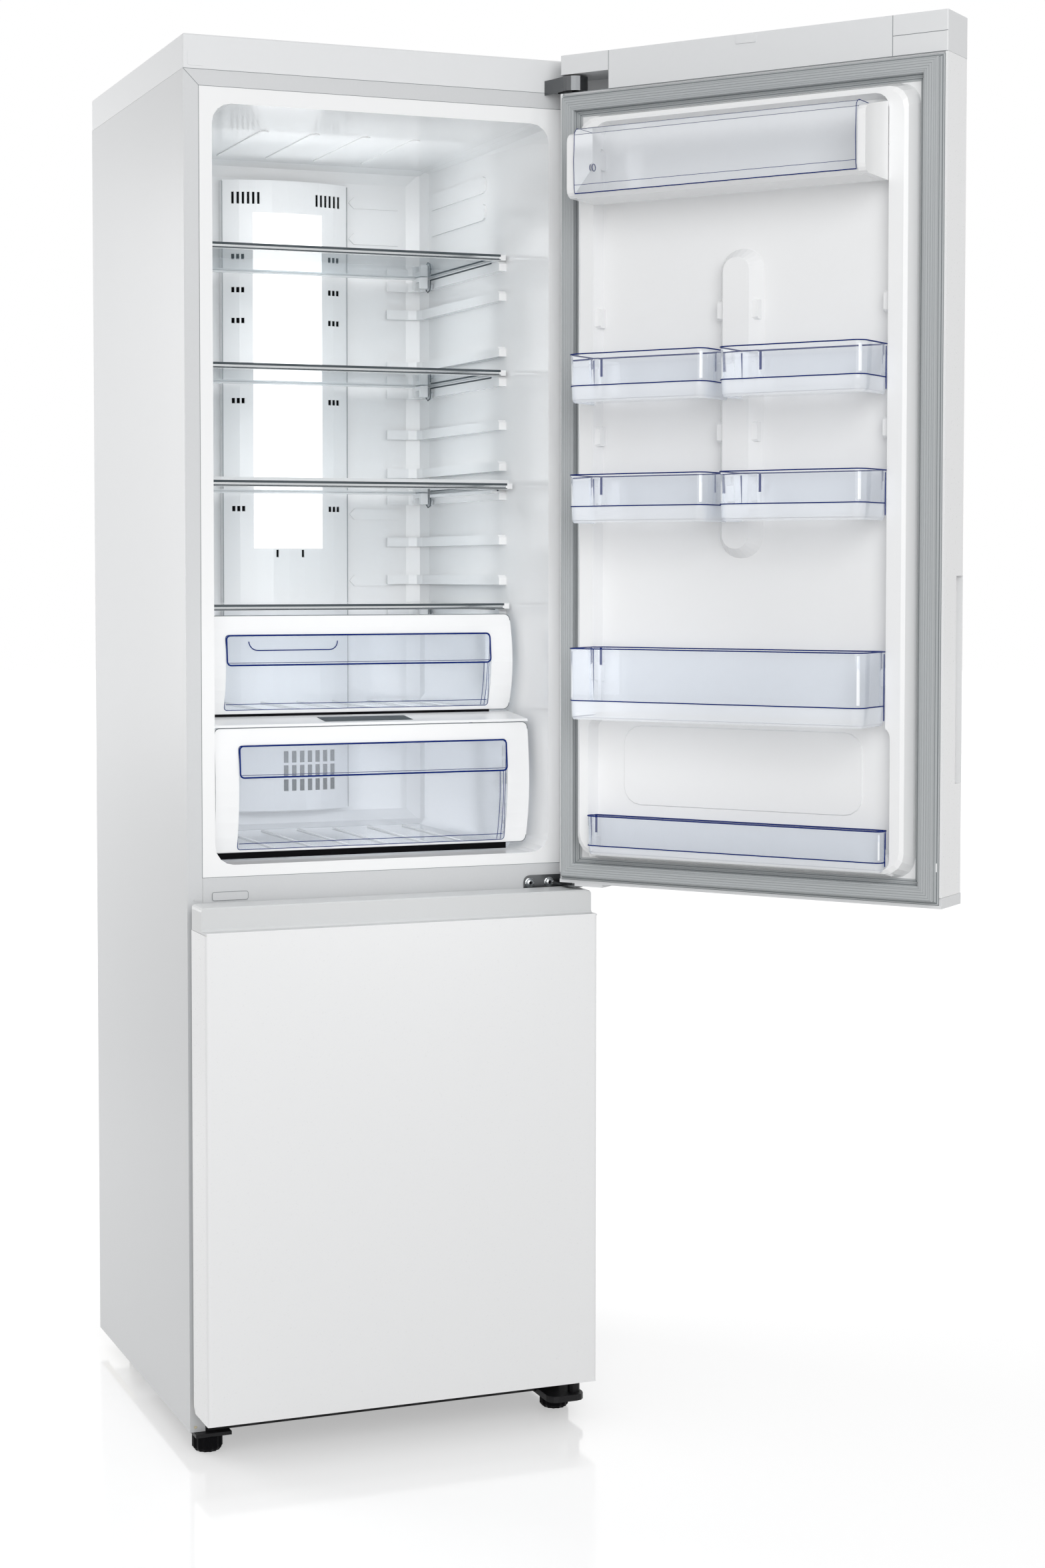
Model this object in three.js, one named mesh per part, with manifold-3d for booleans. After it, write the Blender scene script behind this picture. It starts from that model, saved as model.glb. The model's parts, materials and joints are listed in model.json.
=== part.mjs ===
// A free-standing bottom freezer refrigerator, in millimetres, +Z up.
// x = 0 is the middle of the cabinet, y = 0 its front flange, +y its back, z = 0 the floor.
// The fridge door stands open at its rest angle; every other moving piece is closed.

import * as THREE from 'three';
import { mergeVertices } from 'three/addons/utils/BufferGeometryUtils.js';
import Module from 'manifold-3d';

// ---------------------------------------------------------------- sizes: fits
const GAP = 0.3; // between pieces that touch
const WELD = 1e-4; // vertices closer than this are one
const RUNNING_GAP = 0.5; // round a pin or shaft that turns
const CORNER_STEPS = 4; // facets of a rounded corner

// ------------------------------------------------------------- sizes: cabinet
const WIDTH = 597;
const DEPTH = 556;
const HEIGHT = 2010;
const SKIN = 1.2;
const FLANGE_WIDTH = 22.5;
const COVER_HEIGHT = 48.4;
const COVER_WALL = 2.5;
const SIDE_BOTTOM = 28;
const BACK_LIP = 14;
const LINER_WALL = 1.5;
const LINER_RIM = 19; // from the flange to the opening at the sides
const LINER_TOP_RIM = 23;
const LINER_LOW_RIM = 17;
const LINER_CORNER = 28;
const LINER_DRAFT = 13; // a side wall leans in by this much at the back
const BACK_FOAM = 56; // from the liner to the back of the cabinet
const RAIL_TOP = 824;
const RAIL_HEIGHT = 67;
const RAIL_RETURN = 14;
const SILL_HEIGHT = 64.7;
const SHEET = 2;

const HALF = WIDTH / 2;
const FLANGE_INNER = HALF - FLANGE_WIDTH;
const COVER_BOTTOM = HEIGHT - COVER_HEIGHT;
const FLANGE_TOP = COVER_BOTTOM - FLANGE_WIDTH;
const OPENING = FLANGE_INNER - LINER_RIM;
const CEILING = FLANGE_TOP - LINER_TOP_RIM;
const FRIDGE_FLOOR = RAIL_TOP + LINER_LOW_RIM;
const RAIL_BOTTOM = RAIL_TOP - RAIL_HEIGHT;
const FREEZER_CEILING = RAIL_BOTTOM - LINER_LOW_RIM;
const SILL_TOP = SIDE_BOTTOM + SILL_HEIGHT;
const FREEZER_FLOOR = SILL_TOP + LINER_LOW_RIM;
const LINER_DEPTH = DEPTH - BACK_FOAM;

// ----------------------------------------------------- sizes: machine chamber
const CHAMBER_DEPTH = 206; // from the back panel forward
const CHAMBER_TOP = 290;
const CHAMBER_LINING = 12; // foam beside the chamber
const HUMP_FOAM = 50; // foam over and before the chamber
const HUMP_FRONT = DEPTH - CHAMBER_DEPTH - HUMP_FOAM;
const HUMP_TOP = CHAMBER_TOP + HUMP_FOAM;
const ROLLER_RADIUS = 20;
const ROLLER_WIDTH = 16;
const ROLLER_X = 250;
const ROLLER_Y = DEPTH - 56;
const AXLE_RADIUS = 3.5;
const BASE_Z = SIDE_BOTTOM + 14;
const COMPRESSOR_RADIUS = 78;
const COMPRESSOR_HEIGHT = 150;
const TRAY_HEIGHT = 30;

// --------------------------------------------------------------- sizes: doors
const DOOR_INSET = 1.5; // a door is this much narrower than the cabinet, each side
const DOOR_THICKNESS = 74;
const DOOR_BACK = -16;
const DOOR_SKIN = 1;
const DOOR_RETURN = 3.7;
const FRIDGE_DOOR_BOTTOM = RAIL_TOP - 24.5;
const FRIDGE_DOOR_TOP = HEIGHT - 0.5;
const CAP_HEIGHT = 55;
const BOTTOM_CAP_HEIGHT = 15;
const FREEZER_DOOR_BOTTOM = 62.7;
const FREEZER_DOOR_TOP = FRIDGE_DOOR_BOTTOM - 9.5;
const GRIP_BAND_HEIGHT = 33;
const GRIP_BAND_SETBACK = 22;
const AXIS_INSET = 13.25; // hinge axis to the end face of a door
const AXIS_DEPTH = 20.5; // hinge axis to the back face of a door
const PIN_RADIUS = 5;
const PIN_LENGTH = 22;
const BUSH_RADIUS = 10;
const REST_ANGLE = 127.28;

const DOOR_HALF = HALF - DOOR_INSET;
const DOOR_FRONT = DOOR_BACK - DOOR_THICKNESS;
const AXIS_X = DOOR_HALF - AXIS_INSET;
const AXIS_Y = DOOR_BACK - AXIS_DEPTH;
const CAP_BOTTOM = FRIDGE_DOOR_TOP - CAP_HEIGHT;
const FOAM_BACK = DOOR_BACK - 2.3;
const BORE_RADIUS = PIN_RADIUS + RUNNING_GAP;

// ------------------------------------------------------ sizes: door furniture
const GASKET_INSET = 4; // gasket to the edge of the door
const GASKET_WIDTH = 33.5;
const GASKET_BEAD_INSET = 5.5;
const GASKET_BEAD = 20;
const DYKE_LEAN = 9;
const DYKE_CREST = 24;
const DYKE_TOP = 14; // crest of the dykes, closed
const POCKET_FLOOR = -8;
const POCKET_LEAN = 5;
const POCKET_CORNER = 16;
const COLUMN_CREST = 20;
const COLUMN_BASE = 34;
const LUG_HEIGHT = 30;
const LUG_DEPTH = 18;
const LUG_PROUD = 4;
const LOWEST_LUG = 58.5; // above the foot of the door
const HIGHEST_LUG = 161.25; // under the top of the door
const LUG_STEPS = 11.65; // pitches between them
const BIN_WALL = 3;
const BIN_DRAFT = 2;
const BIN_CORNER = 17;
const HALF_BIN_GAP = 9; // half bin to the middle of the door
const BIN_FRONT = 95;
const BOTTOM_BIN_FRONT = 32;
const DAIRY_CAP = 11.5; // thickness of a dairy box end
const DAIRY_BELOW = 64.25; // foot of the dairy box under its lugs
const DAIRY_HEIGHT = 106;
const DAIRY_PIVOT_Y = 42;
const DAIRY_PIVOT_RISE = 49; // over the foot of the dairy box
const LID_WALL = 2.5;

// ------------------------------------------------------- sizes: fridge inside
const LEDGE_FRONT = 155;
const LEDGE_BACK = LINER_DEPTH - 10;
const LEDGE_PROUD = 12;
const LEDGE_HEIGHT = 15;
const SHELF_HALF = OPENING - 7;
const SHELF_TAPER = 8;
const SHELF_THICKNESS = 9;
const SHELF_BACK = LINER_DEPTH - 48;
const SHELF_SHARES = [0.7446, 0.4991, 0.2557, 0]; // of the room over the lowest shelf, from the top down
const UPPER_DRAWER_ROOM = 154.9; // from the crisper cover to the lowest shelf
const SHELF_FRONTS = [150, 150, 124, 136];
const SLIDING_SHELF = 2;
const GLASS = 4;
const DUCT_HALF = 105;
const DUCT_EDGE = LINER_DEPTH - 18;
const DUCT_BULGE = 20;
const DUCT_WALL = 2.5;
const DUCT_TOP_GAP = 31; // duct panel to the ceiling
const LIGHT_HALF = 57.5;
const DRAWER_HALF = OPENING - LINER_DRAFT;
const TUB_HALF = DRAWER_HALF - 18;
const TUB_DRAFT = 6;
const TUB_BACK = SHELF_BACK - 7;
const TUB_WALL = 2.5;
const FRONT_THICKNESS = 4;

// ------------------------------------------------------ sizes: freezer inside
const FREEZER_DUCT_Y = LINER_DEPTH - 62;
const FREEZER_DRAWER_FRONT = 14;
const FREEZER_LEDGE_PROUD = 18;
const FAN_RADIUS = 58;
const FAN_Z = 650;
const FAN_Y = FREEZER_DUCT_Y + 24;

// -------------------------------------------------- sizes: feet and low hinge
const FOOT_X = 271;
const FOOT_Y = 8;
const FOOT_RADIUS = 22;
const FOOT_HEIGHT = 22;
const FOOT_RIBS = 14;
const STEM_RADIUS = 4;

// ------------------------------------------------------------------ materials
const finish = (color, roughness, metalness, opacity = 1) =>
  new THREE.MeshStandardMaterial({ color, roughness, metalness, opacity, transparent: opacity < 1 });
const whitePaint = finish(0xe6e8ea, 0.35, 0.1);
const doorPaint = finish(0xf0f1f2, 0.25, 0.15);
const whitePlastic = finish(0xf2f3f4, 0.4, 0);
const greyPlastic = finish(0xc9cccf, 0.45, 0);
const blackPlastic = finish(0x1c1c1e, 0.55, 0);
const clearPlastic = finish(0xd6e2f0, 0.08, 0, 0.3);
const glass = finish(0xdfe9e6, 0.03, 0, 0.3);
const steel = finish(0xa9adb1, 0.35, 1);
const galvanised = finish(0xb4b8ba, 0.5, 0.9);
const aluminium = finish(0xc6c8ca, 0.4, 0.9);
const blackSteel = finish(0x232326, 0.5, 0.5);
const gasketRubber = finish(0xd9dadb, 0.7, 0);
const foam = finish(0xe9dfc2, 0.9, 0);
const lightDiffuser = finish(0xfdfdff, 0.3, 0);

// -------------------------------------------------------------- solid helpers
const wasm = await Module();
wasm.setup();

const basis = (u, v, w) =>
  new THREE.Matrix4().makeBasis(new THREE.Vector3(...u), new THREE.Vector3(...v), new THREE.Vector3(...w));
// an outline (u, v) drawn along w: y-z for x, x-z for y, x-y for z
const DRAWN_ALONG = {
  x: basis([0, 1, 0], [0, 0, 1], [1, 0, 0]),
  y: basis([1, 0, 0], [0, 0, 1], [0, -1, 0]),
  z: basis([1, 0, 0], [0, 1, 0], [0, 0, 1]),
};
const TURNED_ABOUT = {
  x: new THREE.Matrix4().makeRotationZ(-Math.PI / 2),
  y: new THREE.Matrix4(),
  z: new THREE.Matrix4().makeRotationX(Math.PI / 2),
};

function solid(geometry) {
  const bare = new THREE.BufferGeometry();
  bare.setAttribute('position', geometry.getAttribute('position'));
  bare.setIndex(geometry.index);
  const welded = mergeVertices(bare, WELD);
  const corners = welded.index.array;
  const triangles = [];
  for (let i = 0; i < corners.length; i += 3) {
    const [a, b, c] = corners.slice(i, i + 3);
    if (a !== b && b !== c && c !== a) triangles.push(a, b, c);
  }
  const vertProperties = Float32Array.from(welded.getAttribute('position').array);
  return new wasm.Manifold(new wasm.Mesh({ numProp: 3, vertProperties, triVerts: Uint32Array.from(triangles) }));
}

const point = (u, v) => new THREE.Vector2(u, v);
const outline = (...pairs) => pairs.map(([u, v]) => point(u, v));

function arc(u, v, radius, from, to, steps = CORNER_STEPS) {
  return Array.from({ length: steps + 1 }, (_, i) => {
    const angle = THREE.MathUtils.degToRad(from + ((to - from) * i) / steps);
    return point(u + radius * Math.cos(angle), v + radius * Math.sin(angle));
  });
}

const circle = (u, v, radius, steps = 12) => arc(u, v, radius, 0, 360, steps).slice(0, -1);

const roundedRect = (u0, u1, v0, v1, r, steps = CORNER_STEPS) => [
  ...arc(u1 - r, v0 + r, r, -90, 0, steps),
  ...arc(u1 - r, v1 - r, r, 0, 90, steps),
  ...arc(u0 + r, v1 - r, r, 90, 180, steps),
  ...arc(u0 + r, v0 + r, r, 180, 270, steps),
];

function prism(points, axis, from, to) {
  const geometry = new THREE.ExtrudeGeometry(new THREE.Shape(points), { depth: to - from, bevelEnabled: false });
  geometry.translate(0, 0, axis === 'y' ? -to : from);
  return solid(geometry.applyMatrix4(DRAWN_ALONG[axis]));
}

function box(x0, x1, y0, y1, z0, z1) {
  const geometry = new THREE.BoxGeometry(x1 - x0, y1 - y0, z1 - z0);
  return solid(geometry.translate((x0 + x1) / 2, (y0 + y1) / 2, (z0 + z1) / 2));
}

const slab = (half, y0, y1, z0, z1) => box(-half, half, y0, y1, z0, z1);

// rings: [place along the axis, outline], each outline with as many points as the first
function loft(axis, rings) {
  const sign = axis === 'y' ? -1 : 1;
  const ordered = [...rings].sort((a, b) => sign * (a[0] - b[0]));
  const count = ordered[0][1].length;
  const position = ordered.flatMap(([at, points]) => points.flatMap((p) => [p.x, p.y, sign * at]));
  const index = [];
  for (let ring = 0; ring + 1 < ordered.length; ring += 1) {
    for (let i = 0; i < count; i += 1) {
      const [a, b] = [ring * count + i, ring * count + ((i + 1) % count)];
      index.push(a, b, b + count, a, b + count, a + count);
    }
  }
  const last = (ordered.length - 1) * count;
  for (const [a, b, c] of THREE.ShapeUtils.triangulateShape(ordered[0][1], [])) index.push(c, b, a);
  for (const [a, b, c] of THREE.ShapeUtils.triangulateShape(ordered.at(-1)[1], [])) {
    index.push(last + a, last + b, last + c);
  }
  const geometry = new THREE.BufferGeometry();
  geometry.setAttribute('position', new THREE.Float32BufferAttribute(position, 3));
  geometry.setIndex(index);
  return solid(geometry.applyMatrix4(DRAWN_ALONG[axis]));
}

// profile: [radius, height along the axis] from end to end
function lathe(profile, axis, centre, segments = 16) {
  const geometry = new THREE.LatheGeometry(outline(...profile), segments);
  return solid(geometry.applyMatrix4(TURNED_ABOUT[axis]).translate(...centre));
}

const join = (...bodies) => bodies.reduce((whole, body) => whole.add(body));
const cut = (whole, ...tools) => tools.reduce((rest, tool) => rest.subtract(tool), whole);
const mirrored = (body) => body.mirror([1, 0, 0]);
const pair = (body) => body.add(mirrored(body));

function piece(name, body, material) {
  const { vertProperties, triVerts } = body.asOriginal().simplify(WELD).getMesh();
  const geometry = new THREE.BufferGeometry();
  geometry.setAttribute('position', new THREE.BufferAttribute(vertProperties, 3));
  geometry.setIndex(new THREE.BufferAttribute(triVerts, 1));
  geometry.computeVertexNormals();
  const mesh = new THREE.Mesh(geometry, material);
  mesh.name = name;
  return mesh;
}

function group(...children) {
  const holder = new THREE.Group();
  holder.add(...children);
  return holder;
}

// -------------------------------------------------------------------- cabinet
const INSIDE = HALF - SKIN; // inner face of a side panel
const CHAMBER_FRONT = DEPTH - CHAMBER_DEPTH;
const CHAMBER_HALF = INSIDE - GAP - CHAMBER_LINING;
const PANEL_BACK = DEPTH - SKIN - GAP;
const PANEL_FRONT = PANEL_BACK - DOOR_SKIN;

function cabinetShell() {
  const outer = slab(HALF, 0, DEPTH, SIDE_BOTTOM, COVER_BOTTOM);
  const inner = slab(INSIDE, SKIN, DEPTH - SKIN, SIDE_BOTTOM - 1, COVER_BOTTOM - SKIN);
  const front = slab(FLANGE_INNER, -1, SKIN + 1, SIDE_BOTTOM - 1, FLANGE_TOP);
  const back = slab(HALF - BACK_LIP, DEPTH - SKIN - 1, DEPTH + 1, SIDE_BOTTOM - 1, COVER_BOTTOM - BACK_LIP);
  const flangeMiddle = HALF - FLANGE_WIDTH / 2;
  const screwHole = prism(circle(flangeMiddle + 3, SIDE_BOTTOM + 7, 2.5, 10), 'y', -1, SKIN + 1);
  const stopBump = prism(roundedRect(-289, -277, RAIL_TOP - 33, RAIL_TOP - 29, 1.8, 2), 'y', -1, SKIN / 2);
  return cut(outer, inner, front, back, pair(screwHole)).add(stopBump);
}

const HINGE_COVER = { left: 250, height: 21, bottom: COVER_BOTTOM - 3.6, wall: 1.8, front: AXIS_Y - 21.5 };
const ARM_RADIUS = 11;
const TOP_ARM = { left: AXIS_X - ARM_RADIUS, right: AXIS_X + ARM_RADIUS, bottom: COVER_BOTTOM + GAP, thickness: 3 };

function topCover() {
  const outer = loft('z', [
    [COVER_BOTTOM + GAP, roundedRect(-HALF, HALF, 0, DEPTH, 2, 2)],
    [HEIGHT - 2, roundedRect(-HALF, HALF, 0, DEPTH, 2, 2)],
    [HEIGHT, roundedRect(1.5 - HALF, HALF - 1.5, 1.5, DEPTH - 1.5, 2, 2)],
  ]);
  const inner = slab(
    HALF - COVER_WALL, COVER_WALL, DEPTH - COVER_WALL, COVER_BOTTOM - 1, HEIGHT - COVER_WALL);
  const armSlot = box(
    TOP_ARM.left - 1, TOP_ARM.right + 0.9, -1, COVER_WALL + 1, COVER_BOTTOM - 1, TOP_ARM.bottom + TOP_ARM.thickness + 1);
  const plug = prism(roundedRect(-292, -268, HEIGHT - 44, HEIGHT - 22, 3, 2), 'y', -0.6, 0.5);
  return cut(outer, inner, armSlot).add(plug);
}

// the room in a moulded liner: plan, front view and side view cut together
function liningRoom(grow, bottom, top, sideView) {
  const mouth = OPENING + grow;
  const rear = mouth - LINER_DRAFT;
  const back = LINER_DEPTH + grow;
  const rearCorner = 30 + grow;
  const plan = [
    ...outline([-mouth, -2], [mouth, -2], [mouth, 0]),
    ...arc(rear - rearCorner, back - rearCorner, rearCorner, 0, 90, 2),
    ...arc(rearCorner - rear, back - rearCorner, rearCorner, 90, 180, 2),
    point(-mouth, 0),
  ];
  const front = roundedRect(-mouth, mouth, bottom - grow, top + grow, LINER_CORNER + grow);
  return prism(plan, 'z', bottom - grow, top + grow)
    .intersect(prism(front, 'y', -2, back))
    .intersect(prism(sideView, 'x', -mouth, mouth));
}

function fridgeRoom(grow) {
  const corner = 24 + grow;
  const [low, high, back] = [FRIDGE_FLOOR - grow, CEILING + grow, LINER_DEPTH + grow];
  return liningRoom(grow, FRIDGE_FLOOR, CEILING, [
    ...outline([-2, low]),
    ...arc(back - corner, low + corner, corner, -90, 0, 2),
    ...arc(back - corner, high - corner, corner, 0, 90, 2),
    ...outline([-2, high]),
  ]);
}

function freezerRoom(grow) {
  const corner = 20 + grow;
  const [low, high, back] = [FREEZER_FLOOR - grow, FREEZER_CEILING + grow, LINER_DEPTH + grow];
  return liningRoom(grow, FREEZER_FLOOR, FREEZER_CEILING, [
    ...outline([-2, low]),
    ...arc(HUMP_FRONT + grow - corner, low + corner, corner, -90, 0, 2),
    ...outline([HUMP_FRONT + grow, HUMP_TOP - grow], [back, HUMP_TOP - grow]),
    ...arc(back - corner, high - corner, corner, 0, 90, 2),
    ...outline([-2, high]),
  ]);
}

function linerRim(bottom, top) {
  return slab(FLANGE_INNER - GAP, 0, LINER_WALL, bottom + GAP, top - GAP);
}

function moulding(room, proud, region) {
  return region.intersect(room(LINER_WALL / 2)).subtract(room(-proud));
}

const CRISPER_TOP = FRIDGE_FLOOR + 205.3;
const LOWEST_SHELF = CRISPER_TOP + UPPER_DRAWER_ROOM;
const SHELF_BOTTOMS = SHELF_SHARES.map((share) => LOWEST_SHELF + share * (CEILING - LOWEST_SHELF));
const [TOP_SHELF_Z, SECOND_SHELF_Z, SLIDING_SHELF_Z, LOW_SHELF_Z] = SHELF_BOTTOMS;
const CRISPER_COVER = 3.3;
const COVER_BEND = 142; // the cover over the lower drawer is flat behind this
const RUNNER = { proud: 22, height: 5, back: SHELF_BACK - 40 }; // moulded runners under the sliding shelf
// tops of the moulded ledges: one under each shelf, one under the crisper cover, and spare ones
const LEDGE_TOPS = [
  ...SHELF_BOTTOMS.map((z) => z - GAP),
  TOP_SHELF_Z - 45.5, SECOND_SHELF_Z + 45, SECOND_SHELF_Z - 67,
  SLIDING_SHELF_Z + 44, SLIDING_SHELF_Z - 69, LOW_SHELF_Z + 51.8,
];

function fridgeLiner() {
  const shell = cut(
    fridgeRoom(LINER_WALL).intersect(slab(HALF, 0, DEPTH, 0, HEIGHT)).add(linerRim(RAIL_TOP, FLANGE_TOP)),
    fridgeRoom(0),
  );
  const onSides = (proud, side) => moulding(fridgeRoom, proud, pair(prism(side, 'x', OPENING - 80, HALF)));
  const ledgeSide = (front, top, height) => outline(
    [front, top - height], [LEDGE_BACK, top - height], [LEDGE_BACK, top], [front + 4, top], [front, top - 4]);
  const ledges = LEDGE_TOPS.map((top) => onSides(LEDGE_PROUD, ledgeSide(LEDGE_FRONT, top, LEDGE_HEIGHT)));
  const coverTop = CRISPER_TOP - CRISPER_COVER - GAP;
  const coverLedge = onSides(LEDGE_PROUD, ledgeSide(COVER_BEND, coverTop, 10));
  const runnerTop = SHELF_BOTTOMS[SLIDING_SHELF] - GAP;
  const runner = onSides(
    RUNNER.proud, roundedRect(LEDGE_FRONT + 4, RUNNER.back, runnerTop - RUNNER.height, runnerTop, 1, 1));
  const sideRibs = [42, 84].map((drop) =>
    onSides(3, roundedRect(LINER_DEPTH - 270, LINER_DEPTH - 35, CEILING - drop - 26, CEILING - drop, 12, 2)));
  const backRibs = [CEILING - 64, CEILING - 122, SLIDING_SHELF_Z - 40, LOW_SHELF_Z + 34].map((z) => {
    const rib = prism(roundedRect(DUCT_HALF + 10, 208, z, z + 18, 8, 1), 'y', LINER_DEPTH - 100, DEPTH);
    return moulding(fridgeRoom, 2.5, pair(rib));
  });
  const ceilingRibs = [-120, -40, 40, 120].map((x) => {
    const rib = prism(
      roundedRect(x - 7, x + 7, LINER_DEPTH - 310, LINER_DEPTH - 60, 6.5, 1), 'z', CEILING - 40, HEIGHT);
    return moulding(fridgeRoom, 2, rib);
  });
  return join(shell, ...ledges, coverLedge, runner, ...sideRibs, ...backRibs, ...ceilingRibs);
}

const FREEZER_SHELVES = [HUMP_TOP + 6, HUMP_TOP + 216]; // floors of the middle and the top drawer

function freezerLiner() {
  const shell = cut(
    freezerRoom(LINER_WALL).intersect(slab(HALF, 0, DEPTH, 0, HEIGHT)).add(linerRim(SILL_TOP, RAIL_BOTTOM)),
    freezerRoom(0),
  );
  const ledges = FREEZER_SHELVES.map((top) => {
    const ledge = prism(roundedRect(24, FREEZER_DUCT_Y - 10, top - 20, top, 6, 2), 'x', -HALF, HALF);
    return moulding(freezerRoom, FREEZER_LEDGE_PROUD, ledge);
  });
  return join(shell, ...ledges);
}

function cabinetInsulation() {
  const block = slab(
    INSIDE - GAP, LINER_WALL + GAP, PANEL_FRONT - GAP, SIDE_BOTTOM + SHEET + GAP, COVER_BOTTOM - SKIN - GAP);
  const railSpace = slab(FLANGE_INNER, 0, RAIL_RETURN + GAP, RAIL_BOTTOM - GAP, RAIL_TOP + GAP);
  const sillSpace = slab(FLANGE_INNER, 0, SHEET + GAP, 0, SILL_TOP + GAP);
  const chamber = slab(CHAMBER_HALF + GAP, CHAMBER_FRONT, DEPTH, 0, CHAMBER_TOP);
  const stemSpace = prism(circle(FOOT_X, FOOT_Y, STEM_RADIUS + 3, 10), 'z', 0, SIDE_BOTTOM + 22);
  return cut(
    block, fridgeRoom(LINER_WALL + GAP), freezerRoom(LINER_WALL + GAP), railSpace, sillSpace, chamber,
    pair(stemSpace));
}

function crossRail() {
  const [low, high] = [RAIL_BOTTOM, RAIL_TOP];
  const channel = outline(
    [0, low], [RAIL_RETURN, low], [RAIL_RETURN, low + SHEET], [SHEET, low + SHEET], [SHEET, high - SHEET],
    [RAIL_RETURN, high - SHEET], [RAIL_RETURN, high], [0, high]);
  const plug = prism(roundedRect(-262, -209, RAIL_TOP - 33, RAIL_TOP - 21, 3, 2), 'y', -1, SHEET / 2);
  return prism(channel, 'x', GAP - FLANGE_INNER, FLANGE_INNER - GAP).add(plug);
}

function bottomFrame() {
  const sill = slab(FLANGE_INNER - GAP, 0, SHEET, SIDE_BOTTOM, SILL_TOP);
  const plate = slab(INSIDE - GAP, SKIN + GAP, CHAMBER_FRONT - GAP, SIDE_BOTTOM, SIDE_BOTTOM + SHEET);
  const bracket = join(
    box(-293, -240, 2, 40, FOOT_HEIGHT + 2 * GAP, SIDE_BOTTOM + 0.5),
    box(-293, -240, -12, 2.5, FOOT_HEIGHT + 2 * GAP, SIDE_BOTTOM - GAP),
  );
  const stemHole = prism(circle(FOOT_X, FOOT_Y, STEM_RADIUS + RUNNING_GAP, 12), 'z', 0, SIDE_BOTTOM + SHEET + 1);
  return cut(join(sill, plate, bracket), pair(stemHole));
}

const backPanel = () => slab(INSIDE - GAP, PANEL_FRONT, PANEL_BACK, CHAMBER_TOP - 12, COVER_BOTTOM - SKIN - GAP);

// ---------------------------------------------------------- air ducts and cold
function ductBody(inset, bottom, top) {
  const half = DUCT_HALF - inset;
  const chordRadius = (DUCT_HALF ** 2 + DUCT_BULGE ** 2) / (2 * DUCT_BULGE);
  const spread = THREE.MathUtils.radToDeg(Math.asin(DUCT_HALF / chordRadius));
  const face = arc(0, DUCT_EDGE - DUCT_BULGE + chordRadius, chordRadius - inset, -90 - spread, -90 + spread, 8)
    .filter((p) => Math.abs(p.x) < half);
  const back = LINER_DEPTH - GAP;
  const plan = [point(-half, DUCT_EDGE + inset), ...face, point(half, DUCT_EDGE + inset),
    point(half, back), point(-half, back)];
  return prism(plan, 'z', bottom, top);
}

const DUCT_BOTTOM = FRIDGE_FLOOR + 30;
const DUCT_TOP = CEILING - DUCT_TOP_GAP;
const LIGHT_BOTTOM = SLIDING_SHELF_Z - 87.5;
const LIGHT_TOP = CEILING - 83.1;
const lightWindow = (gap) => slab(LIGHT_HALF + gap, 0, LINER_DEPTH, LIGHT_BOTTOM - gap, LIGHT_TOP + gap);

function slotRow(count, x, pitch, width, bottom, top) {
  return Array.from({ length: count }, (_, i) =>
    box(x + i * pitch, x + i * pitch + width, DUCT_EDGE - 2 * DUCT_BULGE, LINER_DEPTH - 4, bottom, top));
}

function ductPanel() {
  const inner = ductBody(DUCT_WALL, DUCT_BOTTOM + DUCT_WALL, DUCT_TOP - DUCT_WALL)
    .add(slab(DUCT_HALF - DUCT_WALL, DUCT_EDGE + DUCT_WALL, LINER_DEPTH, DUCT_BOTTOM + DUCT_WALL, DUCT_TOP - DUCT_WALL));
  const ventHeights = [
    TOP_SHELF_Z + 24.5, TOP_SHELF_Z - 23.5, TOP_SHELF_Z - 72.5, SECOND_SHELF_Z - 25, SLIDING_SHELF_Z - 24,
  ];
  const sideVents = ventHeights.flatMap((z) => [-91.5, 69.5].flatMap((x) => slotRow(3, x, 7.5, 5, z - 4.3, z + 4.3)));
  const topVents = [-91, 47].flatMap((x) => slotRow(6, x, 8, 4, DUCT_TOP - 38, DUCT_TOP - 19));
  const lowSlots = [-22, 21].flatMap((x) => slotRow(1, x, 8, 4, LIGHT_BOTTOM - 14.5, LIGHT_BOTTOM - 2.5));
  const grille = [0, 1, 2].flatMap((row) =>
    slotRow(7, -11, 13.7, 8, FRIDGE_FLOOR + 62 + 23 * row, FRIDGE_FLOOR + 81 + 23 * row));
  return cut(
    ductBody(0, DUCT_BOTTOM, DUCT_TOP), inner, lightWindow(GAP),
    ...sideVents, ...topVents, ...lowSlots, ...grille);
}

function lightPanel() {
  const outer = ductBody(0, DUCT_BOTTOM, DUCT_TOP).translate([0, -0.8, 0]);
  return outer.intersect(lightWindow(0)).subtract(ductBody(DUCT_WALL, DUCT_BOTTOM, DUCT_TOP));
}

const COLD_TOP = FREEZER_CEILING - 4;
const COLD_BOTTOM = HUMP_TOP + GAP;

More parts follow.
